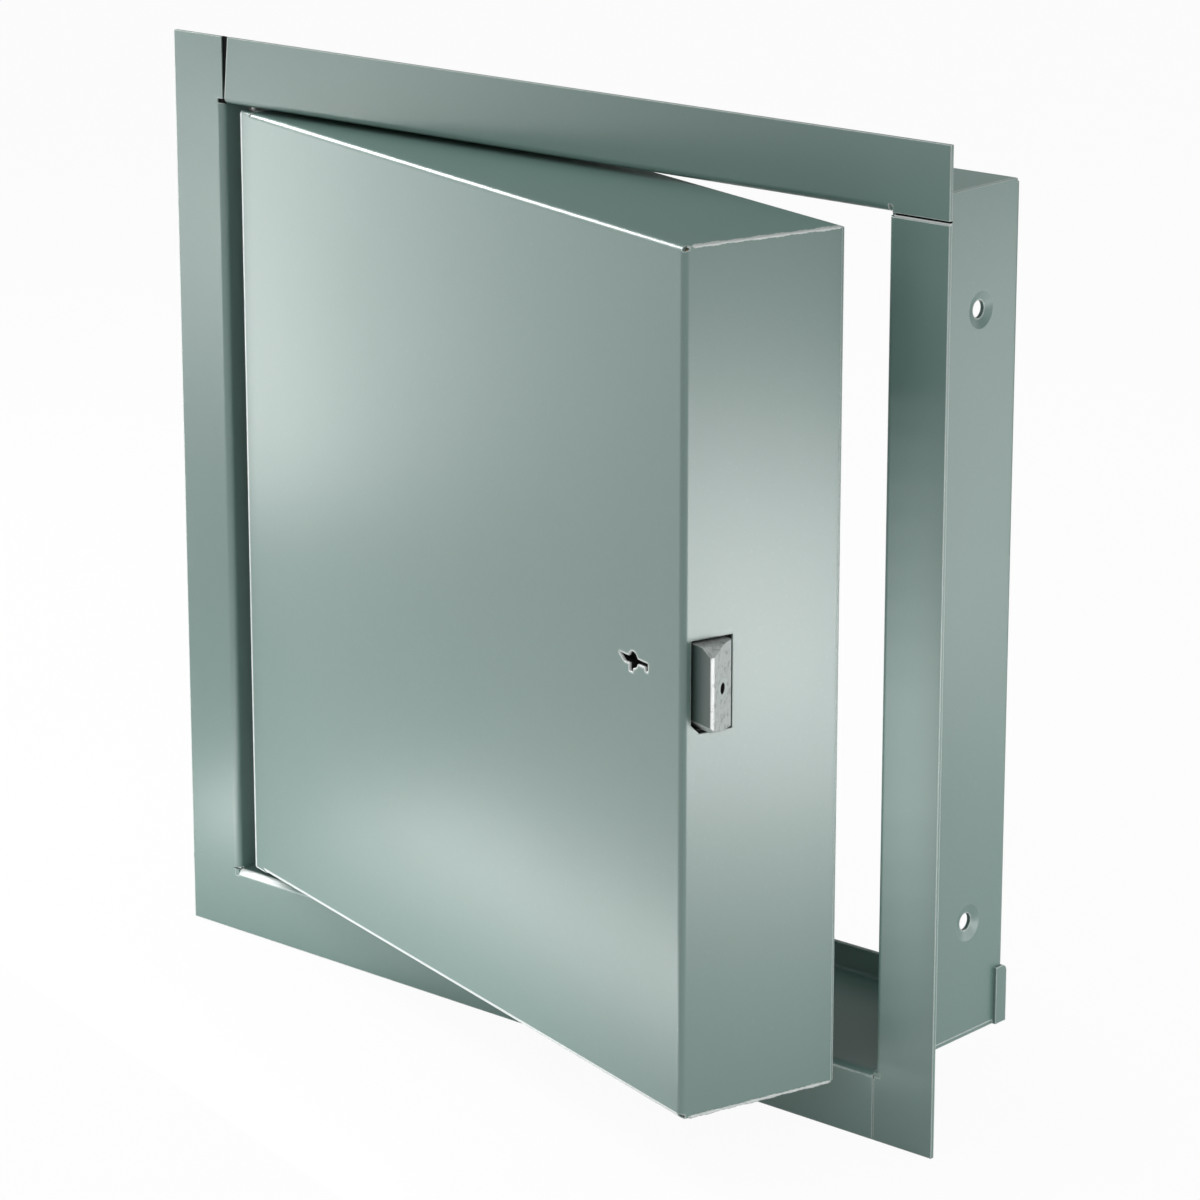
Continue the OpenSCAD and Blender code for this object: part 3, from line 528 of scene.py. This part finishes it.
class FinishProps(PropertyGroup):
    """Colours and textures of the finishes."""

    primer_colour: FloatVectorProperty(
        name="Primer", description="Colour of the grey-green primer", subtype="COLOR",
        size=3, min=0.0, max=1.0, default=(0.13, 0.222, 0.198))
    # Pale edges are partly wear and partly painted highlight
    pale_edge_and_highlight: FloatVectorProperty(
        name="Worn primer", description="Colour of the primer where edges are rubbed", subtype="COLOR",
        size=3, min=0.0, max=1.0, default=(0.74, 0.80, 0.78))
    primer_rough: FloatProperty(
        name="Primer roughness", description="Roughness of the satin primer", default=0.36, min=0.0, max=1.0)
    primer_ior: FloatProperty(
        name="Primer index", description="Refractive index of the satin primer",
        default=2.0, min=1.0, max=3.0)
    # This colour is also used for painted highlights
    cut_steel_and_highlight: FloatVectorProperty(
        name="Cut steel", description="Colour of freshly cut or rubbed steel", subtype="COLOR",
        size=3, min=0.0, max=1.0, default=(0.78, 0.82, 0.81))
    # The bolt's front colour is painted shade
    bolt_shade_colour: FloatVectorProperty(
        name="Bolt", description="Colour of the bolt's dark primer", subtype="COLOR",
        size=3, min=0.0, max=1.0, default=(0.060, 0.098, 0.088))
    peel_height: FloatProperty(
        name="Orange peel", description="Height of the paint's orange peel", subtype="DISTANCE",
        unit="LENGTH", default=0.03 * MM, min=0.0, precision=6)
    edge_radius: FloatProperty(
        name="Edge radius", description="Radius over which sheet edges look rounded", subtype="DISTANCE",
        unit="LENGTH", default=0.6 * MM, min=0.0, precision=6)
    # How much pale shows on edges, partly wear and partly painted highlight
    edge_wear_and_highlight: FloatProperty(
        name="Edge wear", description="How much the rubbed colour shows on edges",
        default=0.85, min=0.0, max=1.0)
    zinc_colour: FloatVectorProperty(
        name="Zinc", description="Colour of the plated fittings", subtype="COLOR",
        size=3, min=0.0, max=1.0, default=(0.58, 0.60, 0.60))
    plate_rough: FloatProperty(
        name="Zinc roughness", description="Roughness of the plating", default=0.30, min=0.0, max=1.0)
    steel_colour: FloatVectorProperty(
        name="Bare steel", description="Colour of unpainted steel", subtype="COLOR",
        size=3, min=0.0, max=1.0, default=(0.48, 0.49, 0.49))
    wool_colour: FloatVectorProperty(
        name="Mineral wool", description="Colour of the insulation board", subtype="COLOR",
        size=3, min=0.0, max=1.0, default=(0.45, 0.37, 0.20))
    plastic_colour: FloatVectorProperty(
        name="Black plastic", description="Colour of the release knob", subtype="COLOR",
        size=3, min=0.0, max=1.0, default=(0.03, 0.032, 0.033))


class FittingProps(PropertyGroup):
    """Sizes of the small fittings and welds."""

    bead_radius: FloatProperty(
        name="Bead radius", description="Radius of the weld bead on the door's corner seams",
        subtype="DISTANCE", unit="LENGTH", default=0.75 * MM, min=0.0, precision=6)
    bead_pitch: FloatProperty(
        name="Bead pitch", description="Distance between ripples of the weld bead",
        subtype="DISTANCE", unit="LENGTH", default=2.3 * MM, min=0.1 * MM, precision=6)
    flange_width: FloatProperty(
        name="Flange width", description="Width of the frame's flange, from the wall's inner face",
        subtype="DISTANCE", unit="LENGTH", default=25.4 * MM, min=0.0, precision=6)
    flange_sheet: FloatProperty(
        name="Flange sheet", description="Thickness of the frame's sheet",
        subtype="DISTANCE", unit="LENGTH", default=1.5 * MM, min=0.0, precision=6)
    bend_radius: FloatProperty(
        name="Bend radius", description="Radius of the bend between the flange and the wall",
        subtype="DISTANCE", unit="LENGTH", default=2.6 * MM, min=0.0, precision=6)
    bend_relief: FloatProperty(
        name="Bend relief", description="Width of the notch where a bend stops at a corner",
        subtype="DISTANCE", unit="LENGTH", default=1.8 * MM, min=0.0, precision=6)
    taper_narrow: FloatProperty(
        name="Taper, inside", description="Inner width of the tapered seam at the top hinge corner",
        subtype="DISTANCE", unit="LENGTH", default=1.0 * MM, min=0.0, precision=6)
    taper_wide: FloatProperty(
        name="Taper, outside", description="Outer width of the tapered seam at the top hinge corner",
        subtype="DISTANCE", unit="LENGTH", default=3.4 * MM, min=0.0, precision=6)
    latch_seam: FloatProperty(
        name="Latch seam", description="Width of the seam at the top latch corner",
        subtype="DISTANCE", unit="LENGTH", default=1.4 * MM, min=0.0, precision=6)
    # The pale strip in the latch seam is a painted highlight
    latch_highlight: FloatProperty(
        name="Latch lip", description="Width of the pale weld in the lower part of that seam",
        subtype="DISTANCE", unit="LENGTH", default=0.65 * MM, min=0.0, precision=6)
    butt_seam: FloatProperty(
        name="Butt seam", description="Width of the two seams at the bottom corners",
        subtype="DISTANCE", unit="LENGTH", default=0.5 * MM, min=0.0, precision=6)
    # The black fill in the top seams is painted shade
    shade_fill_depth: FloatProperty(
        name="Mastic depth", description="How far the mastic in the top seams lies behind the flange's front",
        subtype="DISTANCE", unit="LENGTH", default=0.7 * MM, min=0.0, precision=6)
    ground_width: FloatProperty(
        name="Ground width", description="Width of the flush weld at the bottom hinge corner",
        subtype="DISTANCE", unit="LENGTH", default=2.4 * MM, min=0.0, precision=6)
    weld_proud: FloatProperty(
        name="Weld crown", description="How far the flush weld stands in front of the flange",
        subtype="DISTANCE", unit="LENGTH", default=0.03 * MM, min=0.0, precision=6)
    weld_depth: FloatProperty(
        name="Weld depth", description="How far the weld in the bottom seams lies behind the flange's front",
        subtype="DISTANCE", unit="LENGTH", default=0.06 * MM, min=0.0, precision=6)
    recess_width: FloatProperty(
        name="Recess width", description="Width of an arm of the screws' cross recess",
        subtype="DISTANCE", unit="LENGTH", default=0.8 * MM, min=0.0, precision=6)
    recess_depth: FloatProperty(
        name="Recess depth", description="Depth of the screws' cross recess",
        subtype="DISTANCE", unit="LENGTH", default=0.9 * MM, min=0.0, precision=6)


class StudioProps(PropertyGroup):
    """Floor, lamps and camera."""

    floor_colour: FloatVectorProperty(
        name="Floor", description="Colour of the floor", subtype="COLOR",
        size=3, min=0.0, max=1.0, default=(0.70, 0.70, 0.70))
    floor_white: FloatProperty(
        name="Floor white", description="Share of plain white that the camera sees in the floor",
        default=0.95, min=0.0, max=1.0)
    floor_mirrored: FloatProperty(
        name="Floor in reflections", description="Share of plain white that reflections show of the floor",
        default=0.2, min=0.0, max=1.0)
    ambient: FloatProperty(
        name="Ambient", description="Strength of the even light from all sides", default=0.5, min=0.0)
    dome_dark: FloatProperty(
        name="Dome level", description="Brightness of the upper studio in reflections", default=0.2, min=0.0)
    dome_start: FloatProperty(
        name="Dome start", description="Sine of the elevation at which the studio starts to darken",
        default=0.05)
    dome_end: FloatProperty(
        name="Dome end", description="Sine of the elevation above which the studio is dark", default=0.25)
    camera_at: FloatVectorProperty(
        name="Camera place", description="Where the camera stands", subtype="TRANSLATION",
        unit="LENGTH", size=3, default=(1.04243, -1.15292, 0.44030))
    camera_azimuth: FloatProperty(
        name="Azimuth", description="Direction of the camera, from the front towards the latch side",
        subtype="ANGLE", unit="ROTATION", default=np.radians(41.294))
    camera_elevation: FloatProperty(
        name="Elevation", description="Height of the camera above the horizon",
        subtype="ANGLE", unit="ROTATION", default=np.radians(14.684))
    camera_lens: FloatProperty(
        name="Lens", description="Focal length on a 36 mm sensor, in millimetres", default=133.69, min=1.0)
    camera_shift: FloatProperty(
        name="Shift", description="Upward shift of the lens, in frame widths", default=-0.1)


class PANEL_OT_primer(Operator):
    """Paints the frame's rails, the door and the bolt with satin primer, with painted highlights on edges and
    bends and painted shade on the bolt's front
    """
    bl_idname = "access_panel.primer"
    bl_label = "Prime frame and door"

    def execute(self, context):
        look = context.scene.panel_finish
        frame_paint = primer("frame_paint", look.primer_colour, look, sill_bend_highlight)
        door_paint = primer("door_paint", look.primer_colour, look, door_cut_and_highlights)
        for slot, paint in (("frame_primer", frame_paint), ("door_primer", door_paint)):
            for node in nodes_of(slot):
                dress(node, paint)
        dress("latch_bolt", bolt_shade_and_highlight("bolt_shaded_and_lit_paint", look))
        return {"FINISHED"}


def shorten_spring():
    """Gives the latch spring a mesh of its own; its seat and how far it would shorten are worked out, but nothing
    shortens it.
    """
    coil = node_points("latch_spring")
    along = coil @ BOLT_AXIS
    middle = (coil.min(0) + coil.max(0)) / 2
    seat = middle + (along.min() - middle @ BOLT_AXIS) * BOLT_AXIS
    travel = -JOINTS["bolt_slide"]["range_m"][0]
    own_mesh(frame["nodes"]["latch_spring"], "bolt_slide", tuple(BOLT_AXIS), tuple(seat),
              keep=1 - travel / np.ptp(along))


class PANEL_OT_hardware(Operator):
    """Gives the hinge, the latch and the strike plate their plated or bare steel"""
    bl_idname = "access_panel.hardware"
    bl_label = "Plate the hardware"

    def execute(self, context):
        look = context.scene.panel_finish
        zinc = plated("bright_zinc", look.zinc_colour, look)
        steel = mill_steel("rolled_steel", look.steel_colour)
        plastic = moulded("black_moulding", look.plastic_colour)
        for slot, material in (("zinc_plate", zinc), ("bare_steel", steel), ("black_plastic", plastic)):
            for node in nodes_of(slot):
                dress(node, material)
        shorten_spring()
        dress("bolt_nose_rivet", rivet_with_shaded_hollow("rivet_steel", look.cut_steel_and_highlight))
        # The key cam and latch case are made black as painted shade inside the door
        shade_dark = painted_shade_steel("painted_shade_black")
        for node in ("key_cam", "latch_case"):
            dress(node, shade_dark)
        return {"FINISHED"}


class PANEL_OT_insulation(Operator):
    """Gives the core of the door its mineral wool"""
    bl_idname = "access_panel.insulation"
    bl_label = "Fill the door"

    def execute(self, context):
        wool = wool_board("matted_wool", context.scene.panel_finish.wool_colour)
        for node in nodes_of("mineral_wool"):
            dress(node, wool)
        return {"FINISHED"}


def bead(start, end, radius, pitch, around=10):
    """Rippled weld bead: a tube from start to end whose radius is r (0.7 + 0.2 |sin(pi s / pitch)| + two slow
    waves), rounded off at both ends."""
    length = np.linalg.norm(end - start)
    steps = int(length / pitch * 6)
    s = np.linspace(0.0, length, steps)
    along = (end - start) / length
    side = np.cross(along, [0.0, 0.0, 1.0])
    side /= np.linalg.norm(side)
    up = np.cross(side, along)
    ends = np.sqrt(np.clip(np.minimum(s, length - s) / (2 * radius), 0.0, 1.0))
    waves = 0.14 * np.sin(1.7 * s / pitch + 1.0) + 0.10 * np.sin(0.6 * s / pitch)
    r = radius * (0.7 + 0.2 * np.abs(np.sin(np.pi * s / pitch)) + waves) * ends
    a = np.linspace(0.0, 2 * np.pi, around, endpoint=False)
    ring = np.cos(a)[:, None, None] * side + np.sin(a)[:, None, None] * up
    grid = start + s[None, :, None] * along + r[None, :, None] * ring
    return grid_faces(grid, wrap=True)


class PANEL_OT_weld_beads(Operator):
    """Lays a rippled bead along each corner seam of the door, between its top or bottom and a side"""
    bl_idname = "access_panel.weld_beads"
    bl_label = "Weld the door's corners"

    def execute(self, context):
        sizes = context.scene.panel_fittings
        pan = shut_points("door_pan")
        cover = shut_points("door_back_cover")
        low, high = pan.min(0), pan.max(0)
        side_x = cover[:, 0].min()
        inset = 0.35 * sizes.bead_radius
        start_y = low[1] + BEAD_START
        surfaces = []
        for z in (low[2] + inset, high[2] - inset):
            for x in (side_x, high[0] - inset):
                start, end = np.array([[x, start_y, z], [x, high[1], z]])
                points, quads = bead(start, end, sizes.bead_radius, sizes.bead_pitch)
                surfaces.append((turn_door(points), quads))
        look = context.scene.panel_finish
        # This pale weld colour also paints the highlight in the latch seam
        paint = primer("pale_weld_and_highlight", 0.7 * np.array(look.pale_edge_and_highlight), look)
        build_piece("corner_welds", surfaces, "door", paint)
        return {"FINISHED"}


def seam_fill(start, end, widths, front, back, sag, cells=8):
    """Fill of a seam in the flange: a strip from start to end in X and Z whose width goes from one value to
    the other. Its front is a trough, y = front + sag (1 - u^2) across u from -1 to 1, its back is flat, and
    both ends close on the middle of the section."""
    t = np.linspace(0.0, 1.0, cells + 1)
    t = np.concatenate([t[:1], t, t[-1:]])
    u = np.linspace(-1.0, 1.0, 9)
    across = np.concatenate([u, u[::-1]])
    depth = np.concatenate([front + sag * (1 - u * u), np.full_like(u, back)])
    along = (end - start) / np.linalg.norm(end - start)
    side = np.array([-along[1], along[0]])
    half = (widths[0] + (widths[1] - widths[0]) * t) / 2
    half[[0, -1]] = 0.0
    middle = np.outer(1 - t, start) + np.outer(t, end)
    place = middle[None] + across[:, None, None] * half[None, :, None] * side
    y = np.repeat(depth[:, None], len(t), axis=1)
    y[:, [0, -1]] = (front + sag + back) / 2
    return grid_faces(np.stack([place[..., 0], y, place[..., 1]], axis=-1), wrap=True)


class PANEL_OT_corner_seams(Operator):
    """Fills the seams between the flange's strips: black fill as painted shade at the top, with a pale painted
    highlight in the latch seam's lower part, painted weld at the bottom, ground flush at the hinge side"""
    bl_idname = "access_panel.corner_seams"
    bl_label = "Fill the flange's seams"

    def execute(self, context):
        sizes = context.scene.panel_fittings
        low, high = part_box("frame_hinge_jamb")[0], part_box("frame_latch_jamb")[1]
        front = low.y
        back = front + sizes.flange_sheet
        outer = np.array([high.x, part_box("frame_head")[1].z])
        inner = outer - sizes.flange_width
        x, z = inner
        bend, relief = sizes.bend_radius, sizes.bend_relief
        taper = np.array([sizes.taper_narrow, sizes.taper_wide])
        latch, lip_highlight, butt = sizes.latch_seam, sizes.latch_highlight, sizes.butt_seam
        dark = latch - lip_highlight
        # Black fill in the open seams and the top hinge corner's notch: painted shade of the gaps
        shaded_seams = [
            ((-x + taper[0] / 2, z), (-x + taper[1] / 2, outer[1] - sizes.weld_proud), taper),
            ((x + bend, z - dark / 2), (outer[0], z - dark / 2), (dark, dark)),
            ((-x - bend, z + relief / 2), (-x, z + relief / 2), (relief, relief)),
        ]
        # Pale strip under the black in the latch seam: painted highlight on the flange's top edge
        highlight_z = z - latch + lip_highlight / 2
        highlight_seams = [((x + bend, highlight_z), (outer[0], highlight_z), (lip_highlight, lip_highlight))]
        welded_seams = [
            ((x - butt / 2, -z - bend), (x - butt / 2, -outer[1]), (butt, butt)),
            ((-x - relief, -z - bend / 2), (-x, -z - bend / 2), (bend, bend)),
            ((x, -z - relief / 2), (x + bend, -z - relief / 2), (relief, relief)),
        ]
        cover = sizes.ground_width
        ground_seams = [((-outer[0], butt / 2 - z), (-x - bend, butt / 2 - z), (cover, cover))]
        look = context.scene.panel_finish
        flush = primer("flush_paint", look.primer_colour, look, edges=0.0)
        groups = (("seam_shade_fill", shaded_seams, "black_plastic", seam_shade_black("seam_painted_shade"), sizes.shade_fill_depth),
                  ("seam_highlight", highlight_seams, "frame_primer", finish("pale_weld_and_highlight"), sizes.weld_depth),
                  ("seam_welds", welded_seams, "frame_primer", flush, sizes.weld_depth),
                  ("ground_weld", ground_seams, "frame_primer", flush, -sizes.weld_proud))
        for name, runs, slot, material, depth in groups:
            surfaces = [seam_fill(np.array(start), np.array(end), widths, front + depth, back, depth / 4)
                        for start, end, widths in runs]
            build_piece(name, surfaces, "frame", material)
        return {"FINISHED"}


def screw_head(radius, height, arm, depth, cells=28):
    """Pan head with a cross recess on a square grid drawn into a disc: x = u sqrt(1 - v^2/2), y likewise,
    z = h (1 - 0.35 r^2) less the recess, which is deepest at the centre and closes towards the arms' ends."""
    t = np.linspace(-1.0, 1.0, cells + 1)
    u, v = np.meshgrid(t, t, indexing="ij")
    x, y = u * np.sqrt(1 - v * v / 2), v * np.sqrt(1 - u * u / 2)
    r = np.hypot(x, y)
    half = arm / (2 * radius)
    reach = 0.62
    cross = np.maximum((np.abs(x) < half) & (np.abs(y) < reach), (np.abs(y) < half) & (np.abs(x) < reach))
    z = height * (1 - 0.35 * r ** 2) - depth * cross * (1 - 0.5 * r / reach)
    top = np.stack([radius * x, radius * y, z], axis=-1)
    rim = np.concatenate([top[:-1, 0], top[-1, :-1], top[:0:-1, -1], top[0, :0:-1]])
    foot = rim * [HEAD_FLARE, HEAD_FLARE, 0.0]
    return [grid_faces(top), grid_faces(np.stack([rim, foot], axis=1), wrap=True)]


class PANEL_OT_cover_screws(Operator):
    """Drives the back cover's screws: pan heads with a cross recess on their shanks"""
    bl_idname = "access_panel.cover_screws"
    bl_label = "Screw on the back cover"

    def execute(self, context):
        sizes = context.scene.panel_fittings
        cover_y = shut_points("door_back_cover")[:, 1].max()
        surfaces = []
        for solid in solids_along(shut_points("back_cover_screws"), (2, 0)):
            low, high = solid.min(0), solid.max(0)
            centre = (low + high) / 2
            radius = (high[0] - low[0]) / 2
            head = screw_head(radius / HEAD_FLARE, high[1] - cover_y, sizes.recess_width, sizes.recess_depth)
            shank = lathe([(0.0, low[1] - cover_y), (radius / 2, low[1] - cover_y), (radius / 2, 0.0)], 16)
            for points, quads in head + [shank]:
                placed = np.stack([points[:, 0], points[:, 2], points[:, 1]], axis=1)
                placed += [centre[0], cover_y, centre[2]]
                surfaces.append((turn_door(placed), quads))
        piece = build_piece("cover_screws", surfaces, "door", finish("bright_zinc"))
        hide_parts("back_cover_screws")
        return {"FINISHED"}


def lathe(profile, around=32):
    """Turned surface about Z: each (radius, height) of the profile becomes a ring."""
    radius, height = np.array(profile).T
    a = np.linspace(0.0, 2 * np.pi, around, endpoint=False)
    grid = np.stack([np.outer(np.cos(a), radius), np.outer(np.sin(a), radius),
                     np.broadcast_to(height, (around, len(height)))], axis=-1)
    return grid_faces(grid, wrap=True)


def rivet_profile(low, high, head, grip):
    """Domed head below the grip, and a set end with a dimple above it: quarter ellipses z = h sin t,
    r = R cos t."""
    t = np.linspace(0.0, np.pi / 2, 9)
    dome = [(head * np.sin(a), grip[0] + (low - grip[0]) * np.cos(a)) for a in t]
    shank = RIVET_SHANK * head
    under_head = grip[0] + 0.01 * MM
    body = [(head, under_head), (shank, under_head), (shank, grip[1])]
    set_r = RIVET_SET * head
    set_h = high - grip[1]
    set_end = [(set_r * np.cos(a), grip[1] + set_h * np.sin(a)) for a in t[:6]]
    rim, wall = (0.35 * set_r, high - 0.1 * set_h), (0.2 * set_r, high - 0.45 * set_h)
    return dome + body + set_end + [rim, wall, (0.0, high - 0.5 * set_h)]


class PANEL_OT_hinge_rivets(Operator):
    """Sets the hinge's rivets: domed heads on the leaves and dimpled ends behind the sheet"""
    bl_idname = "access_panel.hinge_rivets"
    bl_label = "Rivet the hinge"

    def execute(self, context):
        groups = (
            ("frame_rivets", "frame_leaf_rivets", "frame", node_points, -1.0),
            ("door_rivets", "door_leaf_rivets", "door", shut_points, 1.0),
        )
        for name, node, body, points_of, facing in groups:
            surfaces = []
            for solid in solids_along(points_of(node), (2,)):
                low, high = solid.min(0), solid.max(0)
                centre = (low + high) / 2
                head = (high[2] - low[2]) / 2
                reach = (high[0] - low[0]) / 2
                grip = reach - RIVET_END
                profile = rivet_profile(-reach, reach, head, (-grip, grip))
                points, quads = lathe(profile)
                placed = np.stack([facing * points[:, 2], points[:, 1], points[:, 0]], axis=1) + centre
                surfaces.append((turn_door(placed) if body == "door" else placed, quads))
            piece = build_piece(name, surfaces, body, finish("bright_zinc"))
            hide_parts(node)
        return {"FINISHED"}


def area_lamp(name, place, aim, size, radiance, spread_deg):
    """Softbox at a place that faces a point, with a power of pi times its area times its radiance. A narrow
    spread h to each side concentrates the power by tan h / (tan h - h), which is taken off again."""
    back = Vector(place) - Vector(aim)
    data = bpy.data.lights.new(name, "AREA")
    data.shape = "RECTANGLE"
    data.size, data.size_y = size
    data.energy = np.pi * size[0] * size[1] * radiance
    if spread_deg < ALL_SIDES:
        half = np.radians(spread_deg) / 2
        data.spread = 2 * half
        data.energy *= 1 - half / np.tan(half)
    lamp = bpy.data.objects.new(name, data)
    bpy.context.scene.collection.objects.link(lamp)
    lamp.location = place
    lamp.rotation_euler = back.to_track_quat("Z", "Y").to_euler()
    lamp.visible_camera = False


def seen_by(shade, ray):
    """1 for one kind of ray and 0 for all others."""
    return shade.add("ShaderNodeLightPath", out=f"Is {ray} Ray")


def seen_directly(shade):
    """1 for rays from the camera, in a reflection or through glass, and 0 for the light on the object."""
    return seen_by(shade, "Camera") + seen_by(shade, "Glossy") + seen_by(shade, "Transmission")


def pale_floor(colour, white, mirrored):
    """Matt floor that shows a share of plain white to the camera and another in reflections, and keeps the
    shadow."""
    shade = Shade("pale_floor")
    cloth = shade.add("ShaderNodeBsdfDiffuse", None, {"Color": rgba(colour)})
    glow = shade.add("ShaderNodeEmission", None, {"Color": (1.0, 1.0, 1.0, 1.0), "Strength": 1.0})
    straight = seen_by(shade, "Camera") + seen_by(shade, "Transmission")
    share = straight * white + seen_by(shade, "Glossy") * mirrored
    mixed = shade.add("ShaderNodeMixShader", None, {"Fac": share, "Shader": cloth, "Shader_001": glow})
    shade.add("ShaderNodeOutputMaterial", None, {"Surface": mixed})
    return shade.holder


class PANEL_OT_studio(Operator):
    """Sets up the floor, the soft lamps, the even light and the camera"""
    bl_idname = "access_panel.studio"
    bl_label = "Set up the studio"

    def execute(self, context):
        scene = context.scene
        studio = scene.panel_studio
        self.lay_floor(scene, studio)
        self.hang_lamps()
        self.light_world(scene, studio)
        self.place_camera(scene, studio)
        scene.view_settings.view_transform = "Standard"
        return {"FINISHED"}

    def lay_floor(self, scene, studio):
        """Flat grid under the lowest edge of the frame."""
        t = np.linspace(-FLOOR_HALF, FLOOR_HALF, 13)
        x, y = np.meshgrid(t, t, indexing="ij")
        points, quads = grid_faces(np.stack([x, y, np.full_like(x, CAD_BOX[0].z)], axis=-1))
        mesh = bpy.data.meshes.new("floor")
        mesh.from_pydata(points.tolist(), [], quads.tolist())
        mesh.materials.append(pale_floor(studio.floor_colour, studio.floor_white, studio.floor_mirrored))
        floor = bpy.data.objects.new("floor", mesh)
        scene.collection.objects.link(floor)

    def hang_lamps(self):
        """The softboxes and cards, and the strips that make up the latch jamb's card."""
        for name, place, aim, size, radiance, spread in LAMPS:
            area_lamp(name, place, aim, size, radiance, spread)
        for step, height in enumerate(JAMB_HEIGHTS):
            place = JAMB_AIM - (1.0 + JAMB_GAP * step) * JAMB_REACH
            radiance = JAMB_RADIANCE / len(JAMB_HEIGHTS)
            area_lamp("jamb_strip", place, JAMB_AIM, (JAMB_WIDTH, height), radiance, JAMB_SPREAD)

    def light_world(self, scene, studio):
        """White where it is seen, darker overhead in reflections, and an even light on the object."""
        world = bpy.data.worlds.new("studio")
        scene.world = world
        shade = Shade("studio", world)
        seen = seen_directly(shade)
        ray = shade.add("ShaderNodeTexCoord", out="Generated")
        sky = shade.add("ShaderNodeSeparateXYZ", None, {"Vector": ray}, out="Z")
        dome = 1.0 - (1.0 - studio.dome_dark) * shade.ramp(sky, studio.dome_start, studio.dome_end)
        white = shade.math("MAXIMUM", seen_by(shade, "Camera"), dome)
        strength = seen * (white - studio.ambient) + studio.ambient
        glow = shade.add("ShaderNodeBackground", None, {"Color": (1.0, 1.0, 1.0, 1.0), "Strength": strength})
        shade.add("ShaderNodeOutputWorld", None, {"Surface": glow})

    def place_camera(self, scene, studio):
        """Camera at its place, turned by its azimuth and elevation."""
        az, el = studio.camera_azimuth, studio.camera_elevation
        back = Vector((np.sin(az) * np.cos(el), -np.cos(az) * np.cos(el), np.sin(el)))
        data = bpy.data.cameras.new("camera")
        data.lens = studio.camera_lens
        data.sensor_width = 36.0
        data.shift_y = studio.camera_shift
        camera = bpy.data.objects.new("camera", data)
        scene.collection.objects.link(camera)
        turn = back.to_track_quat("Z", "Y").to_matrix().to_4x4()
        camera.matrix_world = Matrix.Translation(studio.camera_at) @ turn
        scene.camera = camera


class PANEL_PT_looks(Panel):
    """Lists the finishes, fittings and studio of the access panel"""
    bl_idname = "PANEL_PT_looks"
    bl_label = "Access panel"
    bl_space_type = "VIEW_3D"
    bl_region_type = "UI"
    bl_category = "Access panel"

    def draw(self, context):
        for group in (context.scene.panel_finish, context.scene.panel_fittings, context.scene.panel_studio):
            box = self.layout.box()
            for name in group.bl_rna.properties.keys():
                if name not in ("rna_type", "name"):
                    box.prop(group, name)
        for operator in STEPS:
            self.layout.operator(operator.bl_idname)


STEPS = (PANEL_OT_primer, PANEL_OT_hardware, PANEL_OT_insulation, PANEL_OT_weld_beads, PANEL_OT_corner_seams,
         PANEL_OT_cover_screws, PANEL_OT_hinge_rivets, PANEL_OT_studio)
CLASSES = (FinishProps, FittingProps, StudioProps, *STEPS, PANEL_PT_looks)


def register():
    for item in CLASSES:
        bpy.utils.register_class(item)
    bpy.types.Scene.panel_finish = PointerProperty(type=FinishProps)
    bpy.types.Scene.panel_fittings = PointerProperty(type=FittingProps)
    bpy.types.Scene.panel_studio = PointerProperty(type=StudioProps)


def unregister():
    del bpy.types.Scene.panel_finish
    del bpy.types.Scene.panel_fittings
    del bpy.types.Scene.panel_studio
    for item in reversed(CLASSES):
        bpy.utils.unregister_class(item)


def main():
    register()
    for step in STEPS:
        group, name = step.bl_idname.split(".")
        getattr(getattr(bpy.ops, group), name)()


if __name__ == "__main__":
    main()
